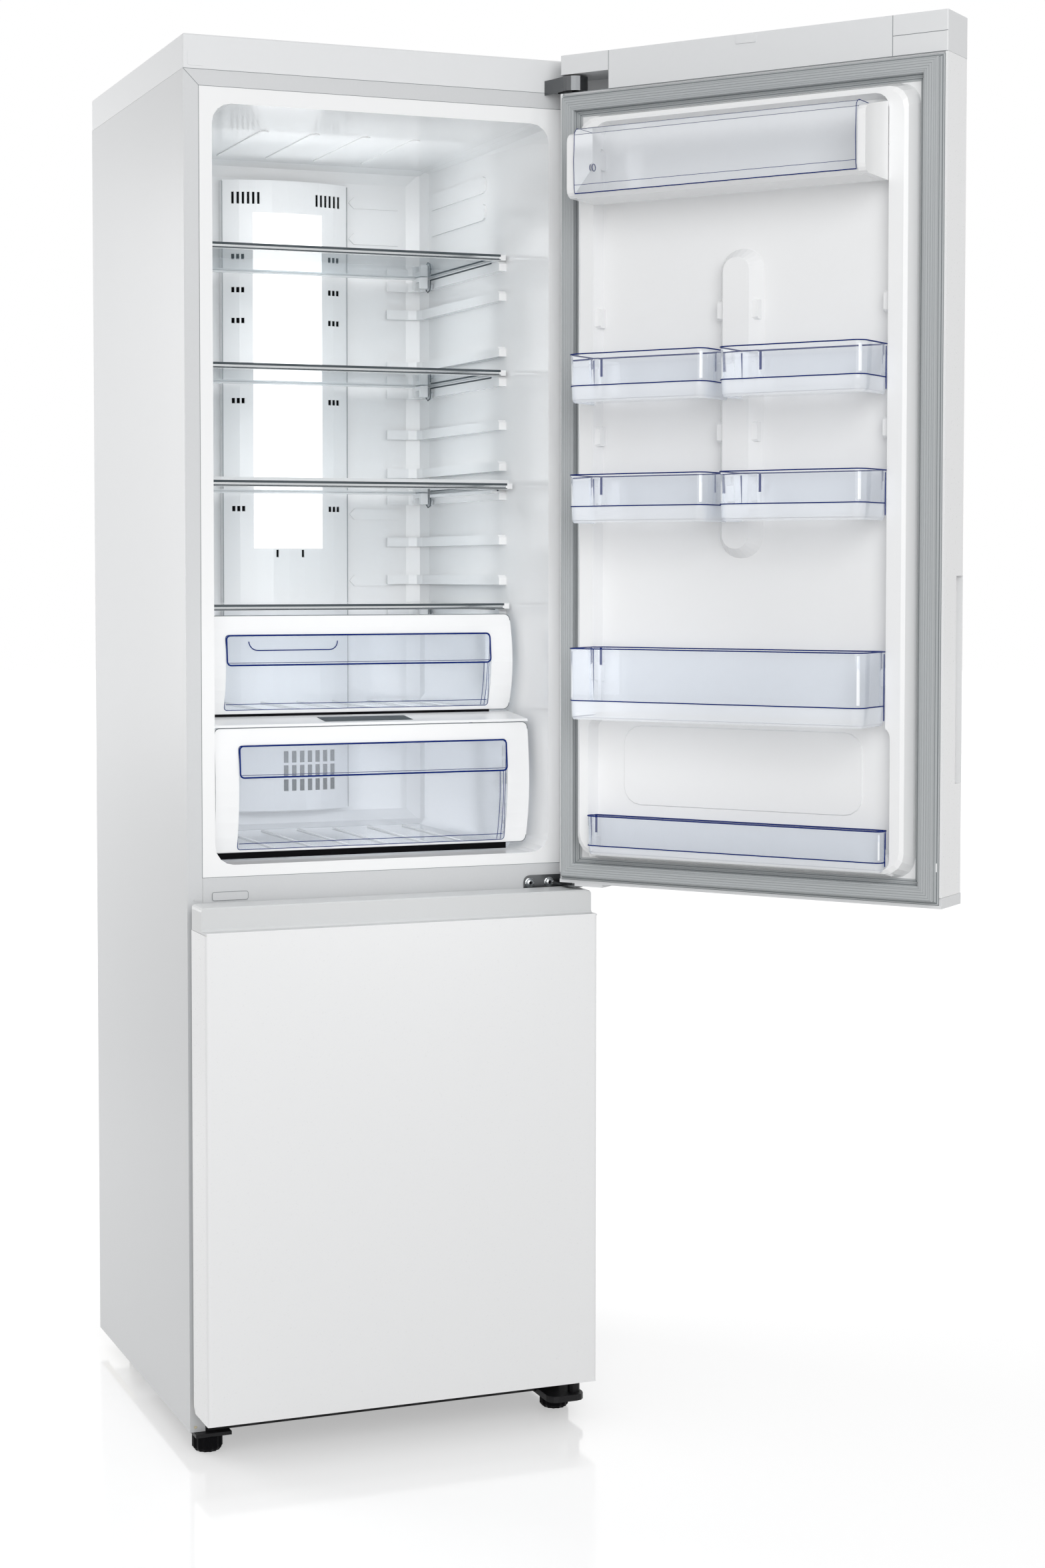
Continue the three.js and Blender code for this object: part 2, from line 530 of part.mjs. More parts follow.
function freezerDuctCover() {
  const half = OPENING - LINER_DRAFT - 3;
  const outer = slab(half, FREEZER_DUCT_Y, LINER_DEPTH - 24, COLD_BOTTOM, COLD_TOP);
  const inner = slab(half - SHEET, FREEZER_DUCT_Y + SHEET, LINER_DEPTH, COLD_BOTTOM + SHEET, COLD_TOP - SHEET);
  const outlets = [-200, -120, 80, 160].map((x) =>
    box(x, x + 40, FREEZER_DUCT_Y - 1, FREEZER_DUCT_Y + SHEET + 1, COLD_TOP - 60, COLD_TOP - 46));
  const intake = box(-180, 180, FREEZER_DUCT_Y - 1, FREEZER_DUCT_Y + SHEET + 1, COLD_BOTTOM + 4, COLD_BOTTOM + 16);
  const mouth = prism(circle(0, FAN_Z, FAN_RADIUS - 6, 24), 'y', FREEZER_DUCT_Y - 1, FREEZER_DUCT_Y + SHEET + 1);
  const spokes = [0, 60, 120].map((angle) =>
    slab(FAN_RADIUS, FREEZER_DUCT_Y, FREEZER_DUCT_Y + SHEET, -3, 3).rotate([0, angle, 0]).translate([0, 0, FAN_Z]));
  const motor = prism(circle(0, FAN_Z, 18, 16), 'y', FREEZER_DUCT_Y, FAN_Y - 12);
  const shaftBore = prism(circle(0, FAN_Z, AXLE_RADIUS + RUNNING_GAP, 10), 'y', FREEZER_DUCT_Y + 4, FAN_Y);
  return cut(join(cut(outer, inner, ...outlets, intake, mouth), ...spokes, motor), shaftBore);
}

function evaporatorFan() {
  const hub = prism(circle(0, FAN_Z, 15, 16), 'y', FAN_Y - 11, FAN_Y + 6);
  const shaft = prism(circle(0, FAN_Z, AXLE_RADIUS, 10), 'y', FAN_Y - 18, FAN_Y - 10);
  const blade = box(12, FAN_RADIUS - 2, -1, 1, -14, 14).rotate([28, 0, 0]).translate([0, FAN_Y - 2.5, 0]);
  const blades = [0, 90, 180, 270].map((angle) => blade.rotate([0, angle, 0]).translate([0, 0, FAN_Z]));
  return join(hub, shaft, ...blades);
}

function evaporator() {
  const [front, back] = [FREEZER_DUCT_Y + 10, LINER_DEPTH - GAP];
  const [bottom, top] = [COLD_BOTTOM + 22, FAN_Z - FAN_RADIUS - 20];
  const fins = Array.from({ length: 6 }, (_, i) => {
    const x = -195 + 78 * i;
    return box(x - 0.5, x + 0.5, front, back, bottom, top);
  });
  const tubes = [0.25, 0.75].map((share) =>
    prism(circle((front + back) / 2, bottom + share * (top - bottom), 4, 6), 'x', -214, 214));
  return join(...fins, ...tubes);
}

// -------------------------------------------------------------------- shelves
const tapered = (half, front, back, inset = 0) => outline(
  [-half + inset, front + inset], [half - inset, front + inset],
  [half - inset - SHELF_TAPER, back - inset], [inset + SHELF_TAPER - half, back - inset]);

const SHELF_LIP = 9; // width of the frame round the glass
const SHELF_FLOOR = 2.7; // frame under the edge of the glass

function shelfFrame(index) {
  const [bottom, front] = [SHELF_BOTTOMS[index], SHELF_FRONTS[index]];
  const ring = cut(
    prism(tapered(SHELF_HALF, front, SHELF_BACK), 'z', bottom, bottom + SHELF_THICKNESS - 1.5),
    prism(tapered(SHELF_HALF, front, SHELF_BACK, SHELF_LIP), 'z', bottom - 1, bottom + SHELF_THICKNESS),
    prism(tapered(SHELF_HALF, front, SHELF_BACK, 3), 'z', bottom + SHELF_FLOOR, bottom + SHELF_THICKNESS),
  );
  const trimProfile = [
    ...outline([front + 3.5, bottom], [front + 3.5, bottom + SHELF_THICKNESS]),
    ...arc(front + 3, bottom + SHELF_THICKNESS - 3, 3, 90, 180, 3),
    ...arc(front + 3, bottom + 3, 3, 180, 270, 3),
  ];
  const trim = prism(trimProfile, 'x', -SHELF_HALF, SHELF_HALF);
  const rearHalf = SHELF_HALF - SHELF_TAPER;
  const arm = box(rearHalf - 16, rearHalf - 1, SHELF_BACK - 2, LEDGE_BACK - 14, bottom, bottom + 6);
  const hook = box(rearHalf - 32, rearHalf - 20, SHELF_BACK - 34, SHELF_BACK + 4, bottom - 16, bottom + 2)
    .subtract(box(rearHalf - 40, rearHalf, SHELF_BACK - 26, SHELF_BACK - 8, bottom - 20, bottom - 5));
  return join(ring, trim, pair(arm), pair(hook));
}

function shelfGlass(index) {
  const bottom = SHELF_BOTTOMS[index] + SHELF_FLOOR + GAP;
  return prism(tapered(SHELF_HALF, SHELF_FRONTS[index], SHELF_BACK, 3 + 2 * GAP), 'z', bottom, bottom + GLASS);
}

// the wide front trim of the sliding shelf and its end pieces
function slidingShelfFrame() {
  const [bottom, front] = [SHELF_BOTTOMS[SLIDING_SHELF], SHELF_FRONTS[SLIDING_SHELF]];
  const slope = outline(
    [front + 1, bottom], [front + 26, bottom], [front + 26, bottom + SHELF_THICKNESS + 2],
    [front + 8, bottom + SHELF_THICKNESS + 5], [front, bottom + SHELF_THICKNESS]);
  const glassRoom = prism(tapered(SHELF_HALF, front, SHELF_BACK, 3), 'z', bottom + SHELF_FLOOR, bottom + 60)
    .intersect(slab(HALF, front + 12, DEPTH, 0, HEIGHT));
  return cut(shelfFrame(SLIDING_SHELF).add(prism(slope, 'x', 4 - SHELF_HALF, SHELF_HALF - 4)), glassRoom);
}

function slidingShelfGlass() {
  const clear = slab(HALF, SHELF_FRONTS[SLIDING_SHELF] + 12 + GAP, DEPTH, 0, HEIGHT);
  return shelfGlass(SLIDING_SHELF).intersect(clear);
}

function crisperCover() {
  const thick = CRISPER_COVER;
  const side = outline(
    [48, CRISPER_TOP - 12.5], [54, CRISPER_TOP - 12.5], [COVER_BEND - 2, CRISPER_TOP - thick], [SHELF_BACK, CRISPER_TOP - thick],
    [SHELF_BACK, CRISPER_TOP], [COVER_BEND - 4, CRISPER_TOP], [50, CRISPER_TOP - 9]);
  const plan = outline(
    [-DRAWER_HALF, 40], [DRAWER_HALF, 40], [DRAWER_HALF, 120], [DRAWER_HALF - 6, SHELF_BACK + 1],
    [6 - DRAWER_HALF, SHELF_BACK + 1], [-DRAWER_HALF, 120]);
  return prism(side, 'x', -DRAWER_HALF, DRAWER_HALF).intersect(prism(plan, 'z', CRISPER_TOP - 20, CRISPER_TOP + 1));
}

// -------------------------------------------------------------------- drawers
// the hollow and the outside of a tub with drafted walls and a rounded foot
function tubBodies({ half, front, back, bottom, top, wall = TUB_WALL, corner = 12 }) {
  const ring = (inset) => roundedRect(inset - half, half - inset, front + inset / 2, back - inset, corner, 2);
  const outside = loft('z', [[bottom, ring(TUB_DRAFT + 4)], [bottom + 6, ring(TUB_DRAFT)], [top, ring(0)]]);
  const hollow = loft('z', [
    [bottom + wall, ring(TUB_DRAFT + 4 + wall)],
    [bottom + 8, ring(TUB_DRAFT + wall)],
    [top, ring(wall)],
    [top + 5, ring(wall)],
  ]);
  return { outside, hollow };
}

function floorRibs({ half, front, back, bottom }, count) {
  const pitch = (2 * half - 60) / count;
  return Array.from({ length: count }, (_, i) => {
    const x = (i - (count - 1) / 2) * pitch;
    return box(x - 2, x + 2, front + 16, back - 20, bottom + TUB_WALL - 0.5, bottom + TUB_WALL + 3);
  });
}

const DRAWER_LEG = 35; // width of a front's legs beside its window
const UPPER_DRAWER = {
  bottom: CRISPER_TOP + 1.7, top: LOW_SHELF_Z - 7.2, topY: 122, bulge: 108, lowY: 126,
  windowLow: 6, windowHigh: 28, lip: 46, floor: CRISPER_TOP + GAP, ribs: 7,
};
const LOWER_DRAWER = {
  bottom: FRIDGE_FLOOR + 10, top: CRISPER_TOP - 13.3, topY: 51, bulge: 42, lowY: 58,
  windowLow: 4, windowHigh: 25, lip: 48, floor: FRIDGE_FLOOR + GAP, ribs: 7,
};

// the face of a front in side view bulges between its bottom and top edges
function drawer({ bottom, top, topY, bulge, lowY, windowLow, windowHigh, lip, floor, ribs }) {
  const middle = (top + bottom) / 2;
  const face = (offset) => Array.from({ length: 9 }, (_, i) => {
    const z = bottom + ((top - bottom) * i) / 8;
    const reach = (z - middle) / ((top - bottom) / 2);
    return point(bulge + ((reach > 0 ? topY : lowY) - bulge) * reach ** 2 + offset, z);
  });
  const across = (points) => prism(points, 'x', -DRAWER_HALF, DRAWER_HALF);
  const through = (half, low, high, r) => prism(roundedRect(-half, half, low, high, r, 3), 'y', bulge - 20, lowY + 40);
  const opening = (gap) =>
    through(DRAWER_HALF - DRAWER_LEG - gap, bottom + windowLow + gap, top - windowHigh - gap, 5);
  const frame = cut(
    across([...face(0), ...face(FRONT_THICKNESS).reverse()]).intersect(through(DRAWER_HALF, bottom, top, 8)),
    opening(0));

  const size = { half: TUB_HALF, front: lowY + FRONT_THICKNESS + GAP, back: TUB_BACK, bottom: floor, top: top - 11 };
  const { outside, hollow } = tubBodies(size);
  const behind = outline([size.front + 5, top], [size.front + 5, bottom]);
  const pane = across([...face(1.2), ...behind]).intersect(opening(GAP));
  const paneHollow = across([...face(1.2 + TUB_WALL), ...behind]).intersect(opening(GAP + TUB_WALL));
  const lipBody = across([...face(-2), ...face(3).reverse()])
    .intersect(opening(GAP))
    .intersect(slab(DRAWER_HALF, 0, DEPTH, top - windowHigh - lip, top));
  return {
    frame,
    tub: join(cut(outside.add(pane), hollow, paneHollow), lipBody, ...floorRibs(size, ribs)),
  };
}

// the three freezer drawers: a tub with a flat front that carries a lip to pull
function freezerDrawer(bottom, top, back) {
  const [frontHalf, depth] = [OPENING - 6, FREEZER_DRAWER_FRONT];
  const size = { half: OPENING - LINER_DRAFT - 6, front: depth + 2, back, bottom, top: top - 30 };
  const { outside, hollow } = tubBodies(size);
  const front = prism(
    roundedRect(-frontHalf, frontHalf, bottom, top, LINER_CORNER - 2, 3), 'y', depth, depth + 5);
  const scoop = prism(roundedRect(-110, 110, top - 46, top - 12, 14, 3), 'y', depth - 1, depth + 6);
  const lip = prism(
    outline([depth + 4, top - 10], [depth - 4, top - 14], [depth - 4, top - 20], [depth + 4, top - 14]),
    'x', -112, 112);
  return join(cut(outside, hollow), cut(front, scoop), lip);
}

const FREEZER_DRAWERS = [
  { name: 'freezer_drawer_top', bottom: FREEZER_SHELVES[1] + GAP, top: FREEZER_CEILING - 8, back: FREEZER_DUCT_Y - 4 },
  { name: 'freezer_drawer_middle', bottom: FREEZER_SHELVES[0] + GAP, top: FREEZER_SHELVES[1] - 6,
    back: FREEZER_DUCT_Y - 4 },
  { name: 'freezer_drawer_bottom', bottom: FREEZER_FLOOR + GAP, top: FREEZER_SHELVES[0] - 6, back: HUMP_FRONT - 24 },
];

// ------------------------------------------------------------ machine chamber
function compressorBase() {
  const plate = slab(CHAMBER_HALF, CHAMBER_FRONT + GAP, PANEL_FRONT - GAP, BASE_Z, BASE_Z + SHEET);
  const frontLip = slab(CHAMBER_HALF, CHAMBER_FRONT, CHAMBER_FRONT + SHEET, SIDE_BOTTOM, BASE_Z + 1);
  const sideLip = box(CHAMBER_HALF - SHEET, CHAMBER_HALF, CHAMBER_FRONT + 4, PANEL_FRONT - 4, BASE_Z, BASE_Z + 26);
  const ears = [-1, 1].map((side) => {
    const middle = ROLLER_X + side * (ROLLER_WIDTH / 2 + 2);
    return prism(roundedRect(ROLLER_Y - 12, ROLLER_Y + 12, ROLLER_RADIUS - 8, BASE_Z + 1, 7, 1), 'x', middle - 1, middle + 1);
  });
  const bore = prism(circle(ROLLER_Y, ROLLER_RADIUS, AXLE_RADIUS + RUNNING_GAP, 8), 'x', ROLLER_X - 20, ROLLER_X + 20);
  return cut(join(plate, frontLip, pair(sideLip), ...ears.map(pair)), pair(bore));
}

function roller() {
  const wheel = lathe([
    [0, -ROLLER_WIDTH / 2], [ROLLER_RADIUS - 2, -ROLLER_WIDTH / 2], [ROLLER_RADIUS, 2 - ROLLER_WIDTH / 2],
    [ROLLER_RADIUS, ROLLER_WIDTH / 2 - 2], [ROLLER_RADIUS - 2, ROLLER_WIDTH / 2], [0, ROLLER_WIDTH / 2],
  ], 'x', [0, 0, 0]);
  return wheel.add(prism(circle(0, 0, AXLE_RADIUS, 12), 'x', -ROLLER_WIDTH / 2 - 5, ROLLER_WIDTH / 2 + 5));
}

const COMPRESSOR_AT = [-60, DEPTH - 101];
const GROMMET = 8;

function compressor() {
  const foot = BASE_Z + SHEET + GAP;
  const [r, h, z] = [COMPRESSOR_RADIUS, COMPRESSOR_HEIGHT, foot + GROMMET];
  const can = lathe([
    [0, z], [r - 18, z], [r, z + 20], [r, z + 70], [r + 4, z + 72], [r + 4, z + 78], [r, z + 80],
    [r - 3, z + h - 26], [r - 22, z + h - 4], [0, z + h],
  ], 'z', [...COMPRESSOR_AT, 0]);
  const [x, y] = COMPRESSOR_AT;
  const mount = box(x - 100, x + 100, y - 55, y + 55, z - 0.5, z + 2.5);
  const grommets = [[-90, -45], [90, -45], [-90, 45], [90, 45]].map(([dx, dy]) =>
    prism(circle(x + dx, y + dy, 10, 10), 'z', foot, z + 1));
  const stubs = [[58, 50], [58, 90]].map(([dy, dz]) =>
    prism(circle(y - 30 + dy / 2, z + dz, 4, 8), 'x', x + r - 12, x + r + 26));
  const relay = box(x - r - 24, x - r + 8, y - 25, y + 25, z + 45, z + 100);
  return join(can, mount, ...grommets, ...stubs, relay);
}

function dripTray() {
  const bottom = BASE_Z + SHEET + GAP + GROMMET + COMPRESSOR_HEIGHT + GAP;
  const [x, y] = COMPRESSOR_AT;
  const ring = (inset) => roundedRect(x - 110 + inset, x + 110 - inset, y - 70 + inset, y + 70 - inset, 14, 3);
  const outside = loft('z', [[bottom, ring(4)], [bottom + TRAY_HEIGHT, ring(0)]]);
  const hollow = loft('z', [[bottom + SHEET, ring(4 + SHEET)], [bottom + TRAY_HEIGHT + 1, ring(SHEET)]]);
  return outside.subtract(hollow);
}

// --------------------------------------------------------------------- hinges
const armPlan = (radius, back, right = AXIS_X + radius) =>
  [point(AXIS_X - radius, back), ...arc(AXIS_X, AXIS_Y, radius, 180, 360, 8), point(right, back)];

function topHinge() {
  const { right, bottom, thickness } = TOP_ARM;
  const arm = prism(armPlan(ARM_RADIUS, 10), 'z', bottom, bottom + thickness);
  const plate = box(right - 70, right, 6, 62, bottom, bottom + thickness);
  const pin = prism(circle(AXIS_X, AXIS_Y, PIN_RADIUS), 'z', CAP_BOTTOM - PIN_LENGTH, bottom + 1);
  const screws = [[right - 60, 20], [right - 60, 50], [right - 14, 50]].map(([x, y]) =>
    prism(circle(x, y, 6, 6), 'z', bottom + thickness - 0.5, bottom + thickness + 4));
  return join(arm, plate, pin, ...screws);
}

function hingeCoverPlan(inset) {
  const { left, front } = HINGE_COVER;
  const right = DOOR_HALF - inset;
  return [
    ...outline([left + inset, -GAP], [left + 6 + inset, AXIS_Y / 2]),
    ...arc(AXIS_X - 2, AXIS_Y, AXIS_Y - front - inset, 180, 270, 5),
    ...arc(right - 6, front + 8 + inset, 6, 300, 360, 2),
    point(right, -GAP),
  ];
}

function topHingeCover() {
  const { bottom, height, wall } = HINGE_COVER;
  const outer = prism(hingeCoverPlan(0), 'z', bottom, bottom + height);
  const inner = prism(hingeCoverPlan(wall), 'z', bottom - 1, bottom + height - wall);
  const mouth = box(TOP_ARM.left - 1, TOP_ARM.right + GAP, -8, 1, bottom - 1, bottom + height - wall);
  return cut(outer, inner, mouth);
}

const MIDDLE_PLATE = { left: 217, bottom: RAIL_TOP - 36, top: RAIL_TOP - 17, thickness: 2.7 };
const ARM_THICKNESS = 3.3;
const ARM_BOTTOM = FREEZER_DOOR_TOP + 1.5;

function middleHinge() {
  const { left, bottom, top, thickness } = MIDDLE_PLATE;
  const plateFront = -GAP - thickness;
  const plateOutline = [
    ...outline([left, bottom], [DOOR_HALF, bottom], [DOOR_HALF, top]),
    ...arc(left + 10, top - 10, 10, 90, 180, 4),
  ];
  const plate = prism(plateOutline, 'y', plateFront, -GAP);
  const arm = prism(armPlan(13, -GAP, DOOR_HALF), 'z', ARM_BOTTOM, ARM_BOTTOM + ARM_THICKNESS);
  const pin = prism(
    circle(AXIS_X, AXIS_Y, PIN_RADIUS), 'z', FREEZER_DOOR_TOP - PIN_LENGTH, FRIDGE_DOOR_BOTTOM + PIN_LENGTH);
  const heads = [left + 9, left + 40].map((x) =>
    prism(circle(x, RAIL_TOP - 28, 5.5, 6), 'y', plateFront - 3.5, plateFront + 0.5));
  const sockets = [left + 9, left + 40].map((x) =>
    prism(circle(x, RAIL_TOP - 28, 2.5, 6), 'y', plateFront - 4, plateFront - 1.5));
  return cut(join(plate, arm, pin, ...heads), ...sockets);
}

function bottomHinge() {
  const [left, right] = [FOOT_X - 34, FOOT_X + 24];
  const plate = box(left, right, -4, 40, SIDE_BOTTOM - 3.3, SIDE_BOTTOM - GAP);
  const noseCorner = 14;
  const nose = prism([
    ...outline([right, -3], [left, -3]),
    ...arc(left + noseCorner, AXIS_Y - 6, noseCorner, 180, 270, 3),
    ...arc(right - noseCorner, AXIS_Y - 6, noseCorner, 270, 360, 3)], 'z', SIDE_BOTTOM - 3.3, SIDE_BOTTOM + 6);
  const collar = prism(circle(AXIS_X, AXIS_Y, 9), 'z', SIDE_BOTTOM, FREEZER_DOOR_BOTTOM - GAP);
  const pin = prism(circle(AXIS_X, AXIS_Y, PIN_RADIUS), 'z', SIDE_BOTTOM, FREEZER_DOOR_BOTTOM + PIN_LENGTH);
  const stemHole = prism(circle(FOOT_X, FOOT_Y, STEM_RADIUS + RUNNING_GAP, 12), 'z', 0, SIDE_BOTTOM + 10);
  return join(plate, nose, collar, pin).subtract(stemHole);
}

function foot() {
  const rim = circle(0, 0, FOOT_RADIUS, FOOT_RIBS * 2).map((p, i) => p.multiplyScalar(i % 2 ? 1 : 0.92));
  const scaled = (share) => rim.map((p) => p.clone().multiplyScalar(share));
  const disc = loft('z', [[0, scaled(0.82)], [5, scaled(1)], [FOOT_HEIGHT, scaled(1)]]);
  const stem = prism(circle(0, 0, STEM_RADIUS, 12), 'z', FOOT_HEIGHT - 1, SIDE_BOTTOM + 18);
  return disc.add(stem);
}

// ---------------------------------------------------------------- door bodies
// folded sheet round a door: front, both ends and their narrow returns at the back
function doorSkin(bottom, top) {
  const r = 4;
  const outside = [
    ...arc(DOOR_HALF - r, DOOR_FRONT + r, r, 270, 360, 3), ...outline([DOOR_HALF, DOOR_BACK], [-DOOR_HALF, DOOR_BACK]),
    ...arc(r - DOOR_HALF, DOOR_FRONT + r, r, 180, 270, 3),
  ];
  const half = DOOR_HALF - DOOR_SKIN;
  const ri = r - DOOR_SKIN;
  const inside = [
    ...arc(half - ri, DOOR_FRONT + r, ri, 270, 360, 3),
    ...outline([half, DOOR_BACK - DOOR_SKIN], [-half, DOOR_BACK - DOOR_SKIN]),
    ...arc(ri - half, DOOR_FRONT + r, ri, 180, 270, 3),
  ];
  const mouth = slab(DOOR_HALF - DOOR_RETURN, DOOR_BACK - DOOR_SKIN - 1, DOOR_BACK + 1, bottom - 1, top + 1);
  return cut(prism(outside, 'z', bottom, top), prism(inside, 'z', bottom - 1, top + 1), mouth);
}

const FOAM_HALF = DOOR_HALF - DOOR_SKIN - GAP;
const FOAM_FRONT = DOOR_FRONT + DOOR_SKIN + GAP;
const doorFoam = (bottom, top) =>
  prism(roundedRect(-FOAM_HALF, FOAM_HALF, FOAM_FRONT, FOAM_BACK, 4, 2), 'z', bottom, top);
const hingeBore = (radius, bottom, top) => prism(circle(AXIS_X, AXIS_Y, radius), 'z', bottom, top);

// a mitred frame of rubber: profile of [inset from the outer edge, y]
function gasket(half, bottom, top) {
  const [bead, back] = [GASKET_BEAD_INSET, -GAP];
  const profile = [
    [0, DOOR_BACK], [GASKET_WIDTH, DOOR_BACK], [GASKET_WIDTH, DOOR_BACK + 1.5], [bead + GASKET_BEAD + 3, DOOR_BACK + 2.5],
    [bead + GASKET_BEAD - 1, DOOR_BACK + 6.5], [bead + GASKET_BEAD, back - 5], [bead + GASKET_BEAD, back],
    [bead, back], [bead, back - 5], [bead + 2, DOOR_BACK + 6], [bead - 3, DOOR_BACK + 3], [0, DOOR_BACK + 2],
  ];
  const corners = [[1, 1], [-1, 1], [-1, -1], [1, -1]];
  const middle = (top + bottom) / 2;
  const rise = (top - bottom) / 2;
  const position = corners.flatMap(([sx, sz]) =>
    profile.flatMap(([inset, y]) => [sx * (half - inset), y, middle + sz * (rise - inset)]));
  const count = profile.length;
  const index = [];
  for (let corner = 0; corner < 4; corner += 1) {
    const [here, there] = [corner * count, ((corner + 1) % 4) * count];
    for (let i = 0; i < count; i += 1) {
      const next = (i + 1) % count;
      index.push(here + i, there + i, there + next, here + i, there + next, here + next);
    }
  }
  const geometry = new THREE.BufferGeometry();
  geometry.setAttribute('position', new THREE.Float32BufferAttribute(position, 3));
  geometry.setIndex(index);
  return solid(geometry);
}

// ---------------------------------------------------------------- fridge door
const SKIN_TOP = CAP_BOTTOM - GAP;
const GRIP = {
  low: FRIDGE_DOOR_BOTTOM + 167.5, high: FRIDGE_DOOR_BOTTOM + 452.5, front: DOOR_FRONT + 2.6, depth: 22, width: 25,
};
const gripPocket = (grow) => box(
  -DOOR_HALF - 1, GRIP.depth - DOOR_HALF + grow, GRIP.front - grow, GRIP.front + GRIP.width + grow,
  GRIP.low - grow, GRIP.high + grow);

function fridgeDoorSkin() {
  const clearBack = (bottom, top) => slab(HALF, DOOR_FRONT + DOOR_SKIN, 0, bottom, top);
  const sheet = cut(
    doorSkin(FRIDGE_DOOR_BOTTOM, FRIDGE_DOOR_TOP),
    clearBack(SKIN_TOP, FRIDGE_DOOR_TOP + 1),
    clearBack(FRIDGE_DOOR_BOTTOM - 1, FRIDGE_DOOR_BOTTOM + BOTTOM_CAP_HEIGHT + GAP));
  const pocketWall = gripPocket(1).intersect(slab(DOOR_HALF - DOOR_SKIN / 2, DOOR_FRONT, 0, 0, HEIGHT));
  return cut(sheet.add(pocketWall), gripPocket(0));
}

const HINGE_NOTCH = { left: 218, height: 27, front: DOOR_FRONT + 14 };
const BUSH_LENGTH = PIN_LENGTH + 4;

function fridgeDoorInsulation() {
  const bottom = FRIDGE_DOOR_BOTTOM + BOTTOM_CAP_HEIGHT + GAP;
  return cut(
    doorFoam(bottom, CAP_BOTTOM - 3 - GAP),
    gripPocket(1 + GAP),
    hingeBore(BUSH_RADIUS + GAP, CAP_BOTTOM - BUSH_LENGTH - GAP, CAP_BOTTOM),
    hingeBore(BUSH_RADIUS + GAP, bottom - 1, FRIDGE_DOOR_BOTTOM + BUSH_LENGTH + GAP));
}

function fridgeDoorTopCap() {
  const front = FOAM_FRONT;
  const [x0, x1] = [-DOOR_HALF, DOOR_HALF];
  const block = prism(roundedRect(x0, x1, front, DOOR_BACK, 1.5, 2), 'z', CAP_BOTTOM, FRIDGE_DOOR_TOP);
  const plug = doorFoam(CAP_BOTTOM - 3, CAP_BOTTOM + 1);
  const { left, height, front: notchFront } = HINGE_NOTCH;
  const notch = box(left, DOOR_HALF + 1, notchFront, DOOR_BACK + 1, CAP_BOTTOM, CAP_BOTTOM + height);
  const tab = slab(15, DOOR_BACK - 1, DOOR_BACK + 1.5, FRIDGE_DOOR_TOP - 13.5, FRIDGE_DOOR_TOP - 1.5);
  const seam = box(-left - 0.4, 0.4 - left, DOOR_BACK - 0.6, DOOR_BACK + 1, CAP_BOTTOM - 1, HEIGHT);
  const line = box(x0 - 1, -left, DOOR_BACK - 0.6, DOOR_BACK + 1, CAP_BOTTOM + height - 0.4, CAP_BOTTOM + height + 0.4);
  return cut(
    join(block, plug, tab, hingeBore(BUSH_RADIUS, CAP_BOTTOM - BUSH_LENGTH, CAP_BOTTOM - 1)),
    notch, seam, line,
    hingeBore(BORE_RADIUS, CAP_BOTTOM - PIN_LENGTH - 1, CAP_BOTTOM + 1));
}

function fridgeDoorBottomCap() {
  const front = FOAM_FRONT;
  const [low, high] = [FRIDGE_DOOR_BOTTOM, FRIDGE_DOOR_BOTTOM + BOTTOM_CAP_HEIGHT];
  const profile = outline(
    [front, low], [DOOR_BACK, low], [DOOR_BACK, low + GASKET_INSET + 1], [FOAM_BACK, low + GASKET_INSET + 1],
    [FOAM_BACK, high], [front, high]);
  const stopper = box(226, 272, -50, DOOR_BACK, low - 4.2, low + 1);
  return join(
    prism(profile, 'x', -DOOR_HALF, DOOR_HALF), stopper, hingeBore(BUSH_RADIUS, low + 1, low + BUSH_LENGTH),
  ).subtract(hingeBore(BORE_RADIUS, low - 5, low + PIN_LENGTH + 1));
}

// ------------------------------------------- moulded inner liner of the fridge door
const LINER_SEAT = DOOR_BACK - GAP; // the gasket lies on this plane
const LINER_TOP = CAP_BOTTOM - 3.5;
const FRIDGE_LINER_BOTTOM = FRIDGE_DOOR_BOTTOM + GASKET_INSET + 1.5; // also the foot of its gasket
const GASKET_INNER = GASKET_WIDTH + GAP; // seat's edge to the foot of the dykes
const DYKE_BASE = DOOR_HALF - GASKET_INSET - GASKET_INNER;
const DYKE_OUTER = DYKE_BASE - DYKE_LEAN; // outer edge of the crest
const POCKET_MOUTH = DYKE_OUTER - DYKE_CREST;
const POCKET_HALF = POCKET_MOUTH - POCKET_LEAN;
const LOW_POCKET_HALF = POCKET_HALF + 7;
const PLATE_MARGIN = 42.2; // beside the raised plate of the low pocket

// lugs stand on both dykes and, beside the half bins, on the column
const LUG_ROWS = { bottom: 0, deep: 3, lowHalf: 6, spare: [7, 9], highHalf: 8, dairy: LUG_STEPS };
const LUG_BASE = FRIDGE_DOOR_BOTTOM + LOWEST_LUG;
const LUG_PITCH = (FRIDGE_DOOR_TOP - HIGHEST_LUG - LUG_BASE) / LUG_STEPS;
const lugRow = (row) => LUG_BASE + row * LUG_PITCH;
const DEEP_BIN_BELOW = 65;
const LOW_POCKET_TOP = lugRow(LUG_ROWS.deep) - DEEP_BIN_BELOW;
const COLUMN_LOW = lugRow(LUG_ROWS.lowHalf) - 78;
const COLUMN_HIGH = lugRow(LUG_ROWS.spare[1]) + 73;
const DAIRY_BOTTOM = lugRow(LUG_ROWS.dairy) - DAIRY_BELOW;
const DAIRY_PIVOT = { y: DAIRY_PIVOT_Y, z: DAIRY_BOTTOM + DAIRY_PIVOT_RISE };
const COLUMN_LUG_TIP = (COLUMN_CREST + COLUMN_BASE) / 2 + LUG_PROUD;

